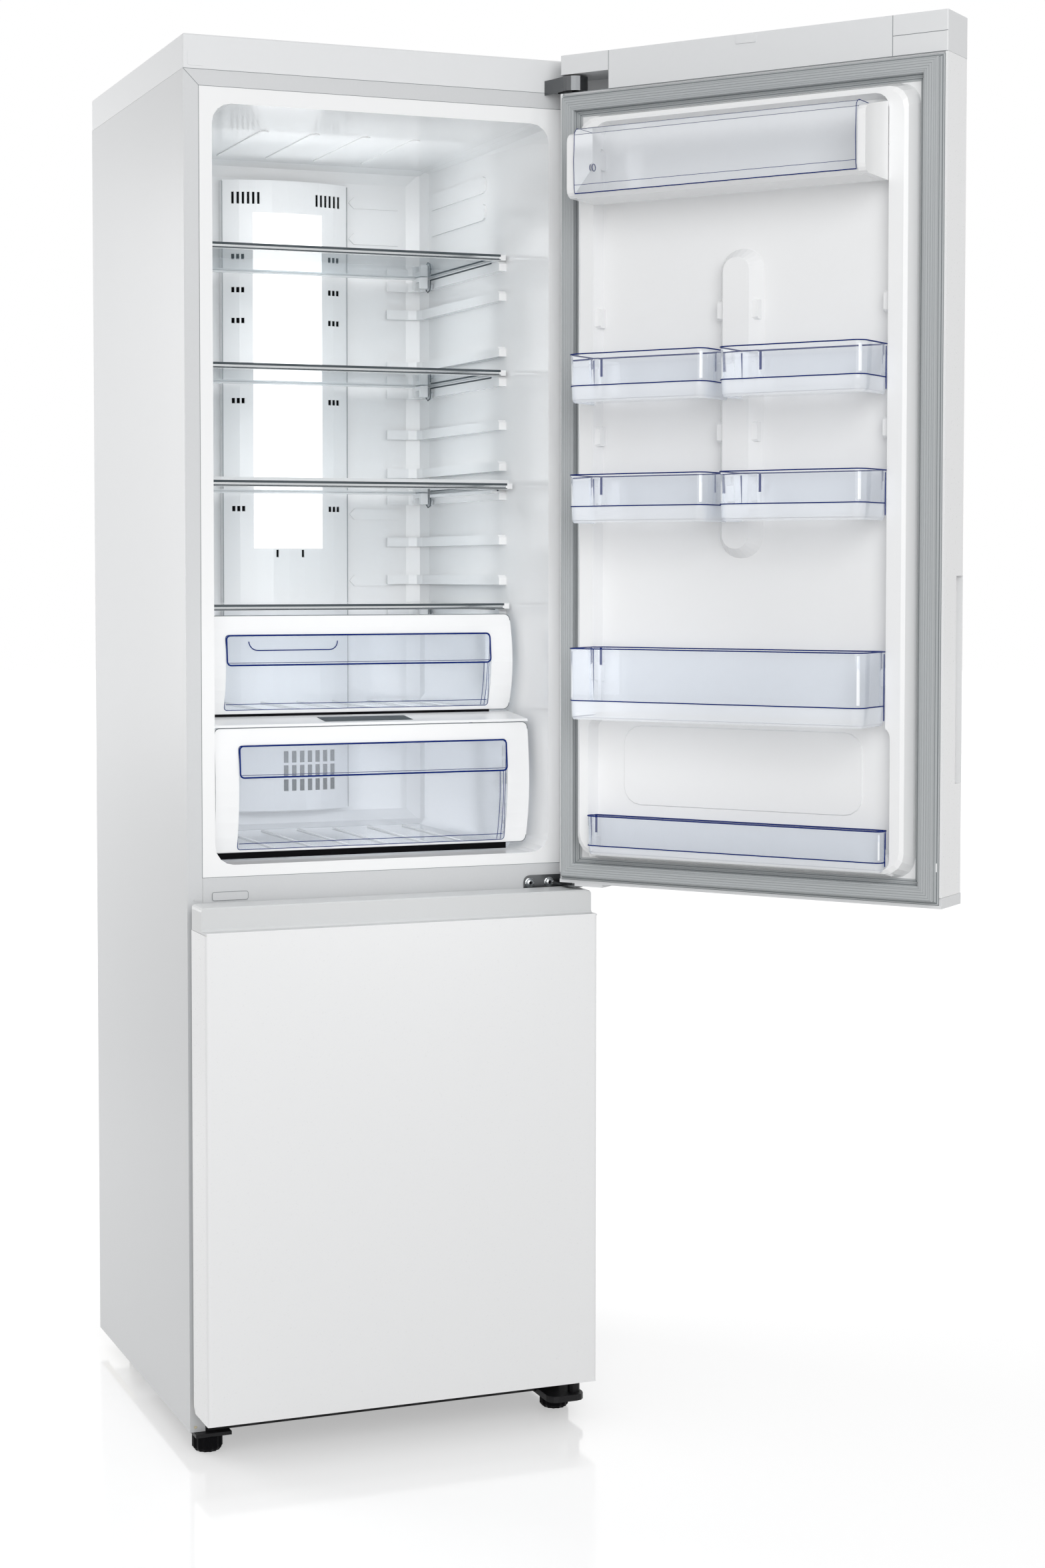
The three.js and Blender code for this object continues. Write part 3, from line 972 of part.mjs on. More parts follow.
function tray(half, low, high, lean, corner, from, to) {
  return loft('y', [
    [from, roundedRect(-half, half, low, high, corner)],
    [to, roundedRect(-half - lean, half + lean, low - lean, high + lean, corner + lean)],
  ]);
}


// a lug grows out of a wall at its root and tapers to its tip
function lug(root, tip, z) {
  const half = LUG_HEIGHT / 2;
  const face = (inset) => roundedRect(
    POCKET_FLOOR - 1, POCKET_FLOOR + LUG_DEPTH - inset, z - half + inset, z + half - inset, 3, 1);
  return loft('x', [[root, face(0)], [tip, face(1.5)]]);
}

function fridgeDoorLiner() {
  const seat = slab(DOOR_HALF - DOOR_RETURN - GAP, FOAM_BACK + GAP, LINER_SEAT, FRIDGE_LINER_BOTTOM, LINER_TOP);
  const [low, high] = [FRIDGE_LINER_BOTTOM + GASKET_INNER, LINER_TOP - GASKET_INNER];
  const dykes = loft('y', [
    [LINER_SEAT - 1, roundedRect(-DYKE_BASE, DYKE_BASE, low, high, LINER_CORNER)],
    [DYKE_TOP - 4, roundedRect(-DYKE_OUTER - 2, DYKE_OUTER + 2, low + 7, high - 7, LINER_CORNER)],
    [DYKE_TOP, roundedRect(3 - DYKE_OUTER, DYKE_OUTER - 3, low + 12, high - 12, LINER_CORNER)],
  ]);
  const mouth = DYKE_TOP + 1;
  const upper = tray(POCKET_HALF, LOW_POCKET_TOP - 20, high - 20, POCKET_LEAN, POCKET_CORNER, POCKET_FLOOR, mouth);
  const lower = tray(LOW_POCKET_HALF, low + 16, LOW_POCKET_TOP - 6, POCKET_LEAN, 10, POCKET_FLOOR, mouth);
  const column = loft('y', [
    [POCKET_FLOOR - 1, roundedRect(-COLUMN_BASE, COLUMN_BASE, COLUMN_LOW - 14, COLUMN_HIGH + 14, COLUMN_BASE - 1, 6)],
    [DYKE_TOP, roundedRect(-COLUMN_CREST, COLUMN_CREST, COLUMN_LOW, COLUMN_HIGH, COLUMN_CREST - 1, 6)],
  ]);
  const plate = tray(
    LOW_POCKET_HALF - PLATE_MARGIN, LOW_POCKET_TOP - 128, LOW_POCKET_TOP - 11, -2, 28, POCKET_FLOOR - 1, POCKET_FLOOR + 2);
  const halfRows = [LUG_ROWS.lowHalf, LUG_ROWS.highHalf, ...LUG_ROWS.spare];
  const wall = (row) => (row === LUG_ROWS.bottom ? LOW_POCKET_HALF : POCKET_HALF);
  const dykeLugs = [LUG_ROWS.bottom, LUG_ROWS.deep, LUG_ROWS.dairy, ...halfRows].map((row) =>
    pair(lug(wall(row) + 5, wall(row) - LUG_PROUD, lugRow(row))));
  const columnLugs = halfRows.map((row) => pair(lug(COLUMN_CREST - 2, COLUMN_LUG_TIP, lugRow(row))));
  return join(cut(seat.add(dykes), upper, lower), column, plate, ...dykeLugs, ...columnLugs);
}

// ------------------------------------------------------- bins of the fridge door
const CREST_FRONT = DYKE_TOP + GAP; // a bin's body stands in front of the dykes
const BIN_REAR = 5; // its narrower rear reaches in between them
const LUG_TOP = LUG_HEIGHT / 2 + GAP;

// heights are taken from the lugs that carry the bin; it is clear moulding, thicker below its seam
function bin({ x0, x1, rear0, rear1, lugZ, below, seam, above, slope, front, corner, hooks }) {
  const [bottom, top] = [lugZ - below, lugZ + above];
  const ring = (inset) => [
    ...outline([x0 + inset, CREST_FRONT], [x1 - inset, CREST_FRONT]),
    ...arc(x1 - inset - corner, front - inset - corner, corner, 0, 90),
    ...arc(x0 + inset + corner, front - inset - corner, corner, 90, 180),
  ];
  const outside = loft('z', [
    [bottom, ring(BIN_DRAFT + 3)], [bottom + 4, ring(BIN_DRAFT)], [bottom + seam, ring(BIN_DRAFT / 2)],
    [bottom + seam + 0.5, ring(BIN_DRAFT / 2 + 0.8)], [top, ring(0)],
  ]);
  const hollowRing = (inset) => ring(inset).map((p) => point(p.x, Math.max(p.y, CREST_FRONT + BIN_WALL)));
  const floor = bottom + slope + BIN_WALL;
  const hollow = loft('z', [
    [floor, hollowRing(BIN_DRAFT + BIN_WALL + 3)], [floor + 4, hollowRing(BIN_DRAFT + BIN_WALL)],
    [top + 1, hollowRing(BIN_WALL)],
  ]);
  const rear = box(rear0, rear1, BIN_REAR, CREST_FRONT + 1, bottom + 7, top);
  const rearHollow = box(
    rear0 + BIN_WALL, rear1 - BIN_WALL, BIN_REAR + BIN_WALL, CREST_FRONT + BIN_WALL + 1, floor + 4, top + 1);
  const wedge = prism(
    outline([CREST_FRONT, bottom - 1], [front + 1, bottom - 1], [front + 1, bottom + slope], [CREST_FRONT, bottom]),
    'x', x0 - 1, x1 + 1);
  const tabs = hooks.map(([from, to]) => box(from, to, BIN_REAR, BIN_REAR + 4, lugZ + LUG_TOP, top - 1));
  return cut(join(cut(outside, wedge), rear, ...tabs), hollow, rearHollow);
}

const REAR_HALF = POCKET_HALF - LUG_PROUD - GAP;
const dykeHook = (rear, side) => (side < 0 ? [-rear - 5, 1 - rear] : [rear - 1, rear + 5]);
const COLUMN_HOOK = [COLUMN_LUG_TIP - 4, COLUMN_BASE + GAP + 1];
const BIN_HALF = POCKET_MOUTH - 1;
const HALF_BIN = {
  x0: HALF_BIN_GAP, x1: BIN_HALF, rear0: COLUMN_BASE + GAP, rear1: REAR_HALF, below: 41, seam: 23, above: 27,
  slope: 8, front: BIN_FRONT, corner: BIN_CORNER, hooks: [COLUMN_HOOK, dykeHook(REAR_HALF, 1)],
};
const halfBin = (row) => bin({ ...HALF_BIN, lugZ: lugRow(row) });
const deepBin = () => bin({
  x0: -BIN_HALF, x1: BIN_HALF, rear0: -REAR_HALF, rear1: REAR_HALF, lugZ: lugRow(LUG_ROWS.deep), below: DEEP_BIN_BELOW,
  seam: 27, above: 36, slope: 7.5, front: BIN_FRONT, corner: BIN_CORNER,
  hooks: [dykeHook(REAR_HALF, -1), dykeHook(REAR_HALF, 1)],
});
const LOW_REAR = LOW_POCKET_HALF - LUG_PROUD - GAP;
const bottomBin = () => bin({
  x0: -BIN_HALF - 3, x1: BIN_HALF + 3, rear0: -LOW_REAR, rear1: LOW_REAR, lugZ: lugRow(LUG_ROWS.bottom), below: 9,
  seam: 13, above: 47, slope: 2, front: BOTTOM_BIN_FRONT, corner: 10,
  hooks: [dykeHook(LOW_REAR, -1), dykeHook(LOW_REAR, 1)],
});

// ------------------------------------------------------------------ dairy box
const DAIRY_TOP = DAIRY_BOTTOM + DAIRY_HEIGHT;
const LID_HALF = BIN_HALF - DAIRY_CAP - GAP;
const LID_TOP = DAIRY_TOP - 8;
const PIVOT_RADIUS = 4;

function dairyBox() {
  const front = BIN_FRONT - 1;
  const capOutline = [
    ...outline([CREST_FRONT, DAIRY_TOP], [CREST_FRONT, DAIRY_BOTTOM], [front - 10, DAIRY_BOTTOM + 1]),
    ...arc(front - 12, DAIRY_BOTTOM + 13, 12, -80, 0, 3),
    ...arc(front - 14, DAIRY_TOP - 28, 14, 0, 80, 3),
  ];
  const cap = prism(capOutline, 'x', BIN_HALF - DAIRY_CAP, BIN_HALF);
  const bore = prism(
    circle(DAIRY_PIVOT.y, DAIRY_PIVOT.z, PIVOT_RADIUS + RUNNING_GAP, 12), 'x', BIN_HALF - DAIRY_CAP - 1, BIN_HALF - 3);
  const inner = BIN_HALF - DAIRY_CAP + 1;
  const floor = slab(inner, BIN_REAR, front - 7, DAIRY_BOTTOM + 5, DAIRY_BOTTOM + 8);
  const skirt = prism(outline(
    [CREST_FRONT, DAIRY_BOTTOM], [front - 12, DAIRY_BOTTOM], [front - 2, DAIRY_BOTTOM + 5], [front - 5, DAIRY_BOTTOM + 5],
    [front - 13, DAIRY_BOTTOM + 2.5], [CREST_FRONT, DAIRY_BOTTOM + 2.5]), 'x', -inner, inner);
  const web = slab(inner - 20, CREST_FRONT, CREST_FRONT + 2, DAIRY_BOTTOM + 1, DAIRY_BOTTOM + 6);
  const lip = slab(inner, front - 9, front - 7, DAIRY_BOTTOM + 3, DAIRY_BOTTOM + 6);
  const lugZ = lugRow(LUG_ROWS.dairy);
  const tab = box(REAR_HALF - 2, REAR_HALF + 5, BIN_REAR, CREST_FRONT + 4, lugZ + LUG_TOP, DAIRY_TOP - 6);
  return cut(join(pair(cap), floor, skirt, web, lip, pair(tab)), pair(bore));
}

function dairyLid() {
  const front = BIN_FRONT + 2;
  const low = DAIRY_BOTTOM + 5.5;
  const shellOf = (inset) => [
    ...outline([40, LID_TOP - inset], [front - 14 - inset, LID_TOP - inset]),
    ...arc(front - 14, LID_TOP - 12, 12 - inset, 80, 10, 3),
    ...outline([front - inset, (LID_TOP + low) / 2], [front - 1.5 - inset, low + 8], [front - 4 - inset, low]),
  ];
  const wall = prism([...shellOf(0), ...shellOf(LID_WALL).reverse()], 'x', -LID_HALF, LID_HALF)
    .intersect(slab(HALF, 0, DEPTH, low, HEIGHT));
  const { y, z } = DAIRY_PIVOT;
  const cheek = prism(
    [...arc(y, z, 8, 120, 260, 5), ...shellOf(1).reverse().filter((p) => p.y > low + 4), point(40, LID_TOP - 1)],
    'x', LID_HALF - LID_WALL, LID_HALF);
  const pivot = prism(circle(y, z, PIVOT_RADIUS, 12), 'x', LID_HALF - 1, LID_HALF + DAIRY_CAP - 4);
  return join(wall, pair(cheek), pair(pivot));
}

// --------------------------------------------------------------- freezer door
const BAND_BOTTOM = FREEZER_DOOR_TOP - GRIP_BAND_HEIGHT;
const CHAMFER = 9;

function freezerDoorChamfer() {
  const low = FREEZER_DOOR_BOTTOM;
  return prism(
    outline([DOOR_BACK - CHAMFER, low - 1], [DOOR_BACK + 1, low - 1], [DOOR_BACK + 1, low + CHAMFER + 1]),
    'x', -HALF, HALF);
}

function freezerDoorSkin() {
  const sheet = doorSkin(FREEZER_DOOR_BOTTOM, BAND_BOTTOM).subtract(
    slab(HALF, DOOR_FRONT + DOOR_SKIN, 0, BAND_BOTTOM - 3.5, BAND_BOTTOM + 1));
  const bottom = slab(
    DOOR_HALF - DOOR_SKIN / 2, DOOR_FRONT + DOOR_SKIN / 2, DOOR_BACK, FREEZER_DOOR_BOTTOM,
    FREEZER_DOOR_BOTTOM + DOOR_SKIN);
  const chamferedBack = freezerDoorChamfer();
  return cut(sheet.add(bottom), chamferedBack, hingeBore(BORE_RADIUS, 0, FREEZER_DOOR_BOTTOM + 3));
}

function gripBand() {
  const front = FOAM_FRONT;
  const [low, high] = [BAND_BOTTOM - 3, FREEZER_DOOR_TOP];
  const face = DOOR_FRONT + GRIP_BAND_SETBACK;
  const profile = outline(
    [front, low], [FOAM_BACK, low], [FOAM_BACK, high - GASKET_INSET], [DOOR_BACK, high - GASKET_INSET], [DOOR_BACK, high],
    [face + 2, high], [face, high - 2], [face, BAND_BOTTOM + 3], [face - 3, BAND_BOTTOM], [front, BAND_BOTTOM]);
  const ends = prism(roundedRect(-DOOR_HALF, DOOR_HALF, low - 20, high, 6, 3), 'y', DOOR_FRONT, 0);
  return prism(profile, 'x', -DOOR_HALF, DOOR_HALF)
    .intersect(ends)
    .subtract(hingeBore(BORE_RADIUS, FREEZER_DOOR_TOP - PIN_LENGTH - 1, FREEZER_DOOR_TOP + 1));
}

const FREEZER_LINER_BOTTOM = FREEZER_DOOR_BOTTOM + CHAMFER + 2;
const FREEZER_LINER_TOP = FREEZER_DOOR_TOP - GASKET_INSET - 2 * GAP;

function freezerDoorInsulation() {
  return cut(
    doorFoam(FREEZER_DOOR_BOTTOM + DOOR_SKIN + GAP, BAND_BOTTOM - 3 - GAP),
    freezerDoorChamfer().translate([0, -GAP, GAP]),
    hingeBore(BORE_RADIUS, 0, FREEZER_DOOR_BOTTOM + PIN_LENGTH + 1));
}

function freezerDoorLiner() {
  const seat = slab(DOOR_HALF - DOOR_RETURN - GAP, FOAM_BACK + GAP, LINER_SEAT, FREEZER_LINER_BOTTOM, FREEZER_LINER_TOP);
  const [low, high] = [FREEZER_FLOOR + 6, FREEZER_CEILING - 6];
  const raised = loft('y', [
    [LINER_SEAT - 1, roundedRect(-DYKE_BASE, DYKE_BASE, low, high, LINER_CORNER)],
    [2, roundedRect(-DYKE_OUTER, DYKE_OUTER, low + 10, high - 10, LINER_CORNER)],
  ]);
  const pocket = tray(POCKET_HALF - 6, low + 40, high - 40, 6, 18, POCKET_FLOOR, 3);
  return cut(seat.add(raised), pocket);
}

// -------------------------------------------------------------------- assembly
const upperDrawer = drawer(UPPER_DRAWER);
const lowerDrawer = drawer(LOWER_DRAWER);
const FIXED_SHELVES = [[0, 'shelf_top'], [1, 'shelf_second'], [3, 'shelf_bottom']];

function footAt(name, side) {
  const mesh = piece(name, foot(), blackPlastic);
  mesh.position.set(side * FOOT_X, FOOT_Y, 0);
  return mesh;
}

function rollerAt(name, side) {
  const mesh = piece(name, roller(), blackPlastic);
  mesh.position.set(side * ROLLER_X, ROLLER_Y, ROLLER_RADIUS);
  return mesh;
}

const cabinet = group(
  piece('cabinet_shell', cabinetShell(), whitePaint),
  piece('top_cover', topCover(), whitePlastic),
  piece('cabinet_insulation', cabinetInsulation(), foam),
  piece('fridge_liner', fridgeLiner(), whitePlastic),
  piece('freezer_liner', freezerLiner(), whitePlastic),
  piece('cross_rail', crossRail(), whitePaint),
  piece('bottom_frame', bottomFrame(), galvanised),
  piece('back_panel', backPanel(), galvanised),
  piece('duct_panel', ductPanel(), whitePlastic),
  piece('light_panel', lightPanel(), lightDiffuser),
  ...FIXED_SHELVES.flatMap(([index, name]) => [
    piece(`${name}_frame`, shelfFrame(index), whitePlastic),
    piece(`${name}_glass`, shelfGlass(index), glass),
  ]),
  piece('crisper_cover', crisperCover(), whitePlastic),
  piece('freezer_duct_cover', freezerDuctCover(), whitePlastic),
  piece('evaporator', evaporator(), aluminium),
  ...FREEZER_DRAWERS.map(({ name, bottom, top, back }) => piece(name, freezerDrawer(bottom, top, back), clearPlastic)),
  piece('compressor_base', compressorBase(), galvanised),
  piece('compressor', compressor(), blackSteel),
  piece('drip_tray', dripTray(), blackPlastic),
  piece('top_hinge', topHinge(), steel),
  piece('top_hinge_cover', topHingeCover(), greyPlastic),
  piece('middle_hinge', middleHinge(), steel),
  piece('bottom_hinge', bottomHinge(), blackSteel),
);
const evaporatorFanBody = group(piece('evaporator_fan', evaporatorFan(), blackPlastic));
const feet = group(footAt('foot_left', -1), footAt('foot_right', 1));
const rollers = group(rollerAt('roller_left', -1), rollerAt('roller_right', 1));
const slidingShelf = group(
  piece('sliding_shelf_frame', slidingShelfFrame(), whitePlastic),
  piece('sliding_shelf_glass', slidingShelfGlass(), glass),
);
const drawers = group(
  piece('upper_drawer_front', upperDrawer.frame, whitePlastic),
  piece('upper_drawer_tub', upperDrawer.tub, clearPlastic),
  piece('lower_drawer_front', lowerDrawer.frame, whitePlastic),
  piece('lower_drawer_tub', lowerDrawer.tub, clearPlastic),
);

const fridgeDoorPieces = group(
  piece('fridge_door_skin', fridgeDoorSkin(), doorPaint),
  piece('fridge_door_insulation', fridgeDoorInsulation(), foam),
  piece('fridge_door_top_cap', fridgeDoorTopCap(), whitePlastic),
  piece('fridge_door_bottom_cap', fridgeDoorBottomCap(), whitePlastic),
  piece('fridge_door_liner', fridgeDoorLiner(), whitePlastic),
  piece('fridge_door_gasket', gasket(DOOR_HALF - GASKET_INSET, FRIDGE_LINER_BOTTOM, LINER_TOP), gasketRubber),
  piece('bin_upper_right', halfBin(LUG_ROWS.highHalf), clearPlastic),
  piece('bin_upper_left', mirrored(halfBin(LUG_ROWS.highHalf)), clearPlastic),
  piece('bin_lower_right', halfBin(LUG_ROWS.lowHalf), clearPlastic),
  piece('bin_lower_left', mirrored(halfBin(LUG_ROWS.lowHalf)), clearPlastic),
  piece('bin_deep', deepBin(), clearPlastic),
  piece('bin_bottom', bottomBin(), clearPlastic),
  piece('dairy_box', dairyBox(), whitePlastic),
  piece('dairy_lid', dairyLid(), clearPlastic),
);
const freezerDoorPieces = group(
  piece('freezer_door_skin', freezerDoorSkin(), doorPaint),
  piece('freezer_door_grip_band', gripBand(), greyPlastic),
  piece('freezer_door_insulation', freezerDoorInsulation(), foam),
  piece('freezer_door_liner', freezerDoorLiner(), whitePlastic),
  piece(
    'freezer_door_gasket', gasket(DOOR_HALF - GASKET_INSET, FREEZER_LINER_BOTTOM, FREEZER_LINER_TOP), gasketRubber),
);

// a door's pieces are drawn closed; its group stands on the hinge axis and turns them
function onHinge(pieces, openBy) {
  pieces.position.set(-AXIS_X, -AXIS_Y, 0);
  const hinge = group(pieces);
  hinge.position.set(AXIS_X, AXIS_Y, 0);
  hinge.rotation.z = THREE.MathUtils.degToRad(openBy);
  return hinge;
}

const model = group(
  cabinet, evaporatorFanBody, feet, rollers, slidingShelf, drawers,
  onHinge(fridgeDoorPieces, REST_ANGLE), onHinge(freezerDoorPieces, 0));
const refrigerator = group(model);

// the origin lies under the middle of the whole, on the floor
refrigerator.updateMatrixWorld(true);
const bounds = new THREE.Box3().setFromObject(refrigerator, true);
model.position.set(-(bounds.min.x + bounds.max.x) / 2, -(bounds.min.y + bounds.max.y) / 2, -bounds.min.z);

const place = (x, y, z) => [x, y, z].map((v, i) => v + model.position.toArray()[i]);
refrigerator.userData.places = {
  doorAxis: place(AXIS_X, AXIS_Y, 0),
  fanAxis: place(0, FAN_Y, FAN_Z),
  rollerAxis: place(ROLLER_X, ROLLER_Y, ROLLER_RADIUS),
  footAxis: place(FOOT_X, FOOT_Y, 0),
  cabinetOrigin: place(0, 0, 0),
};

export default refrigerator;
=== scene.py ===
"""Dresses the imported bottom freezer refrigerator: finishes for its parts, the fine pieces round them, and a studio.

Lengths are written in millimetres in the cabinet's own space: x = 0 is the middle of the cabinet, y = 0 its front
flange and +y its back, z = 0 the floor. Space.place takes them to the frame's metres.
"""

from __future__ import annotations

import json
import logging
import math
from dataclasses import dataclass
from enum import Enum
from functools import cache

import bpy
import numpy as np
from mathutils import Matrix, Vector

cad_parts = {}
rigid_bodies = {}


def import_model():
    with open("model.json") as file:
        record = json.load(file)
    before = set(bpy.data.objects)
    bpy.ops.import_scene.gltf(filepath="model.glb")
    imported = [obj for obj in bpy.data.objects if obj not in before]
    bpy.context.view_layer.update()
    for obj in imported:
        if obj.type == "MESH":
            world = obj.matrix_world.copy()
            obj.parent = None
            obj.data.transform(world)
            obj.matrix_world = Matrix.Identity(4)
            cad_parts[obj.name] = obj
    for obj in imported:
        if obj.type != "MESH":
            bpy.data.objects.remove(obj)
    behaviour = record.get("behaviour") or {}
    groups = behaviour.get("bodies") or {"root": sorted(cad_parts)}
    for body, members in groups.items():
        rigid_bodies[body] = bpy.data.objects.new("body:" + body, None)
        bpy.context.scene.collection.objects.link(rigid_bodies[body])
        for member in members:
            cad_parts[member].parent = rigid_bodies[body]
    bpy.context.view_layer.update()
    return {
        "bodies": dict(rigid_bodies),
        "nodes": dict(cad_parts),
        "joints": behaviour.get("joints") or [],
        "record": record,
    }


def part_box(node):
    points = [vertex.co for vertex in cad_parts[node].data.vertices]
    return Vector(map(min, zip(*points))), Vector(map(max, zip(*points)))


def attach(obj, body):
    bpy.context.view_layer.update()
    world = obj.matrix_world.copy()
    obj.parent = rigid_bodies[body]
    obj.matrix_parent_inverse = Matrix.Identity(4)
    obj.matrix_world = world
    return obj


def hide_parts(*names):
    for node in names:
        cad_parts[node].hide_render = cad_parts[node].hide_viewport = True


LOG = logging.getLogger("refrigerator")
MM = 0.001
CABINET_DEPTH = 556.0
DOOR_OPENING = 127.28
WHITE = (1.0, 1.0, 1.0, 1.0)

Point = tuple[float, float, float]
Pair = tuple[float, float]
Outline = tuple[Pair, ...]
Pairs = np.ndarray | list | tuple
Surface = tuple[np.ndarray, list[tuple[int, ...]]]
Node = bpy.types.Node
Socket = bpy.types.NodeSocket
Link = Node | Socket


# ---- spaces
@dataclass(frozen=True)
class Space:
    """A drawing space in millimetres: the shift of the cabinet's origin in the frame, and a turn in degrees about
    the door axis, from the closed door to its rest. The axis is given in the cabinet's space.
    """

    shift: Pair
    turn: float = 0.0
    axis: Pair = (283.75, -36.5)

    def place(self, points: np.ndarray) -> np.ndarray:
        """Turns points about the door axis, shifts them and scales them to metres.

        Args:
            points: x, y, z in millimetres on the last axis.

        Returns:
            The points in the frame.
        """
        out = np.array(points, float)
        angle = math.radians(self.turn)
        across, along = out[..., 0] - self.axis[0], out[..., 1] - self.axis[1]
        out[..., 0] = across * math.cos(angle) - along * math.sin(angle) + self.axis[0] + self.shift[0]
        out[..., 1] = across * math.sin(angle) + along * math.cos(angle) + self.axis[1] + self.shift[1]
        return out * MM

    @classmethod
    def of_frame(cls, turn: float = 0.0) -> Space:
        """The cabinet's space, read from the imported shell, and turned by a door's angle in degrees."""
        low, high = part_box("cabinet_shell")
        return cls(((low.x + high.x) / 2 / MM, high.y / MM - CABINET_DEPTH), turn)


# ---- materials
class Grain(Enum):
    """The fine relief and tone of a surface, and its repeats per metre along x, y and z."""

    ENAMEL = ("sprayed paint with a faint orange peel", (420.0, 420.0, 420.0))
    MOULDED = ("plastic with a faint moulded texture", (900.0, 900.0, 900.0))
    BRUSHED = ("fine level lines of a brushed or printed sheet", (5.0, 5.0, 900.0))
    SPANGLE = ("zinc flakes", (110.0, 110.0, 110.0))
    CELLS = ("cut foam", (700.0, 700.0, 700.0))
    RUBBER = ("dull rubber", (600.0, 600.0, 600.0))
    POLISHED = ("a mirror with a trace of smears", (60.0, 60.0, 60.0))


class Graph:
    """The node tree of a material or a world, with short calls to add nodes and join them."""

    COLOUR_INPUTS = (6, 7)
    COLOUR_OUTPUT = 2

    def __init__(self, owner: bpy.types.Material | bpy.types.World) -> None:
        """Empties the tree and starts it with its output.

        Args:
            owner: the material or the world.
        """
        self.owner = owner
        owner.use_nodes = True
        self.tree = owner.node_tree
        self.tree.nodes.clear()
        self.output = self.add("OutputWorld" if isinstance(owner, bpy.types.World) else "OutputMaterial")

    def add(self, kind: str, *values: object, settings: dict | None = None, **sockets: object) -> Node:
        """Adds a node and fills or joins its sockets.

        Args:
            kind: the node's type without its ShaderNode prefix.
            *values: values or links for its first sockets, in their order.
            settings: attributes of the node itself.
            **sockets: socket name with _ for a space, and its value or link.

        Returns:
            The node.
        """
        node = self.tree.nodes.new("ShaderNode" + kind)
        for key, value in (settings or {}).items():
            setattr(node, key, value)
        named = [(node.inputs[key.replace("_", " ")], value) for key, value in sockets.items()]
        for socket, value in [*zip(node.inputs, values), *named]:
            self.join(value, socket)
        return node

    def join(self, source: object, target: Socket) -> None:
        """Links a socket, or a node's first output, to a target, or sets the target to a plain value.

        Args:
            source: the socket, node or value.
            target: the socket that takes it.
        """
        source = source.outputs[0] if isinstance(source, Node) else source
        if isinstance(source, Socket):
            self.tree.links.new(source, target)
        else:
            target.default_value = source

    def place(self, scale: Point) -> Node:
        """Object coordinates with so many repeats per metre along x, y and z."""
        return self.add("Mapping", Vector=self.add("TexCoord").outputs["Object"], Scale=scale)

    def noise(self, scale: Point, detail: float) -> Node:
        """Soft noise on the object's coordinates, with a number of octaves."""
        return self.add("TexNoise", Vector=self.place(scale), Scale=1.0, Detail=detail)

    def maths(self, operation: str, *values: Link | float) -> Node:
        """Reckons with links or numbers."""
        return self.add("Math", *values, settings={"operation": operation})

    def tint(self, share: Link, first: Point, second: Point) -> Socket:
        """A colour between two others.

        Args:
            share: how much of the second shows, from 0 to 1.
            first: the colour at 0.
            second: the colour at 1.

        Returns:
            The colour's socket.
        """
        mix = self.add("Mix", settings={"data_type": "RGBA"}, Factor=share)
        for index, colour in zip(self.COLOUR_INPUTS, (first, second)):
            mix.inputs[index].default_value = (*colour, 1)
        return mix.outputs[self.COLOUR_OUTPUT]

    def blend(self, share: Link, first: Node, second: Node) -> Node:
        """Mixes two shaders: the first shows at a share of 0, and the second at 1."""
        return self.add("MixShader", share, first, second)

    def show(self, shader: Node) -> None:
        """Joins the finished shader to the output."""
        self.join(shader, self.output.inputs["Surface"])


@dataclass(frozen=True)
class Finish:
    """An opaque finish: colour, gloss and a grain that shades and roughens it a little."""

    name: str
    colour: Point
    roughness: float
    grain: Grain = Grain.MOULDED
    metal: float = 0.0
    relief: float = 0.05
    tone: float = 0.02
    coat: float = 0.0
    glow: float = 0.0
    shine: float = 0.5
    slow_scale: Point = (2.3, 2.3, 1.1)

    def build(self) -> bpy.types.Material:
        """Makes the material.

        Returns:
            The material.
        """
        graph = Graph(bpy.data.materials.new(self.name))
        scale = self.grain.value[1]
        if self.grain is Grain.SPANGLE:
            cells = graph.add("TexVoronoi", Vector=graph.place(scale), Scale=1.0)
            height = graph.add("RGBToBW", Color=cells.outputs["Color"])
        else:
            height = graph.noise(scale, 3.0)
        shade = graph.maths("ADD", height, graph.noise(self.slow_scale, 2.0))
        ramp = graph.add("MapRange", Value=shade, From_Min=0.6, From_Max=1.4)
        dark = tuple(channel * (1 - self.tone) for channel in self.colour)
        light = tuple(min(1.0, channel * (1 + self.tone)) for channel in self.colour)
        rough = graph.add(
            "MapRange", Value=height, From_Min=0.3, From_Max=0.7,
            To_Min=self.roughness * 0.9, To_Max=min(1.0, self.roughness * 1.12))
        bump = graph.add("Bump", Height=height, Strength=self.relief, Distance=0.0004)
        shader = graph.add(
            "BsdfPrincipled", Base_Color=graph.tint(ramp, dark, light), Roughness=rough, Metallic=self.metal,
            Normal=bump, Coat_Weight=self.coat, Coat_Roughness=0.08, Specular_IOR_Level=self.shine)
        if self.glow:
            shader.inputs["Emission Color"].default_value = WHITE
            shader.inputs["Emission Strength"].default_value = self.glow
        graph.show(shader)
        return graph.owner


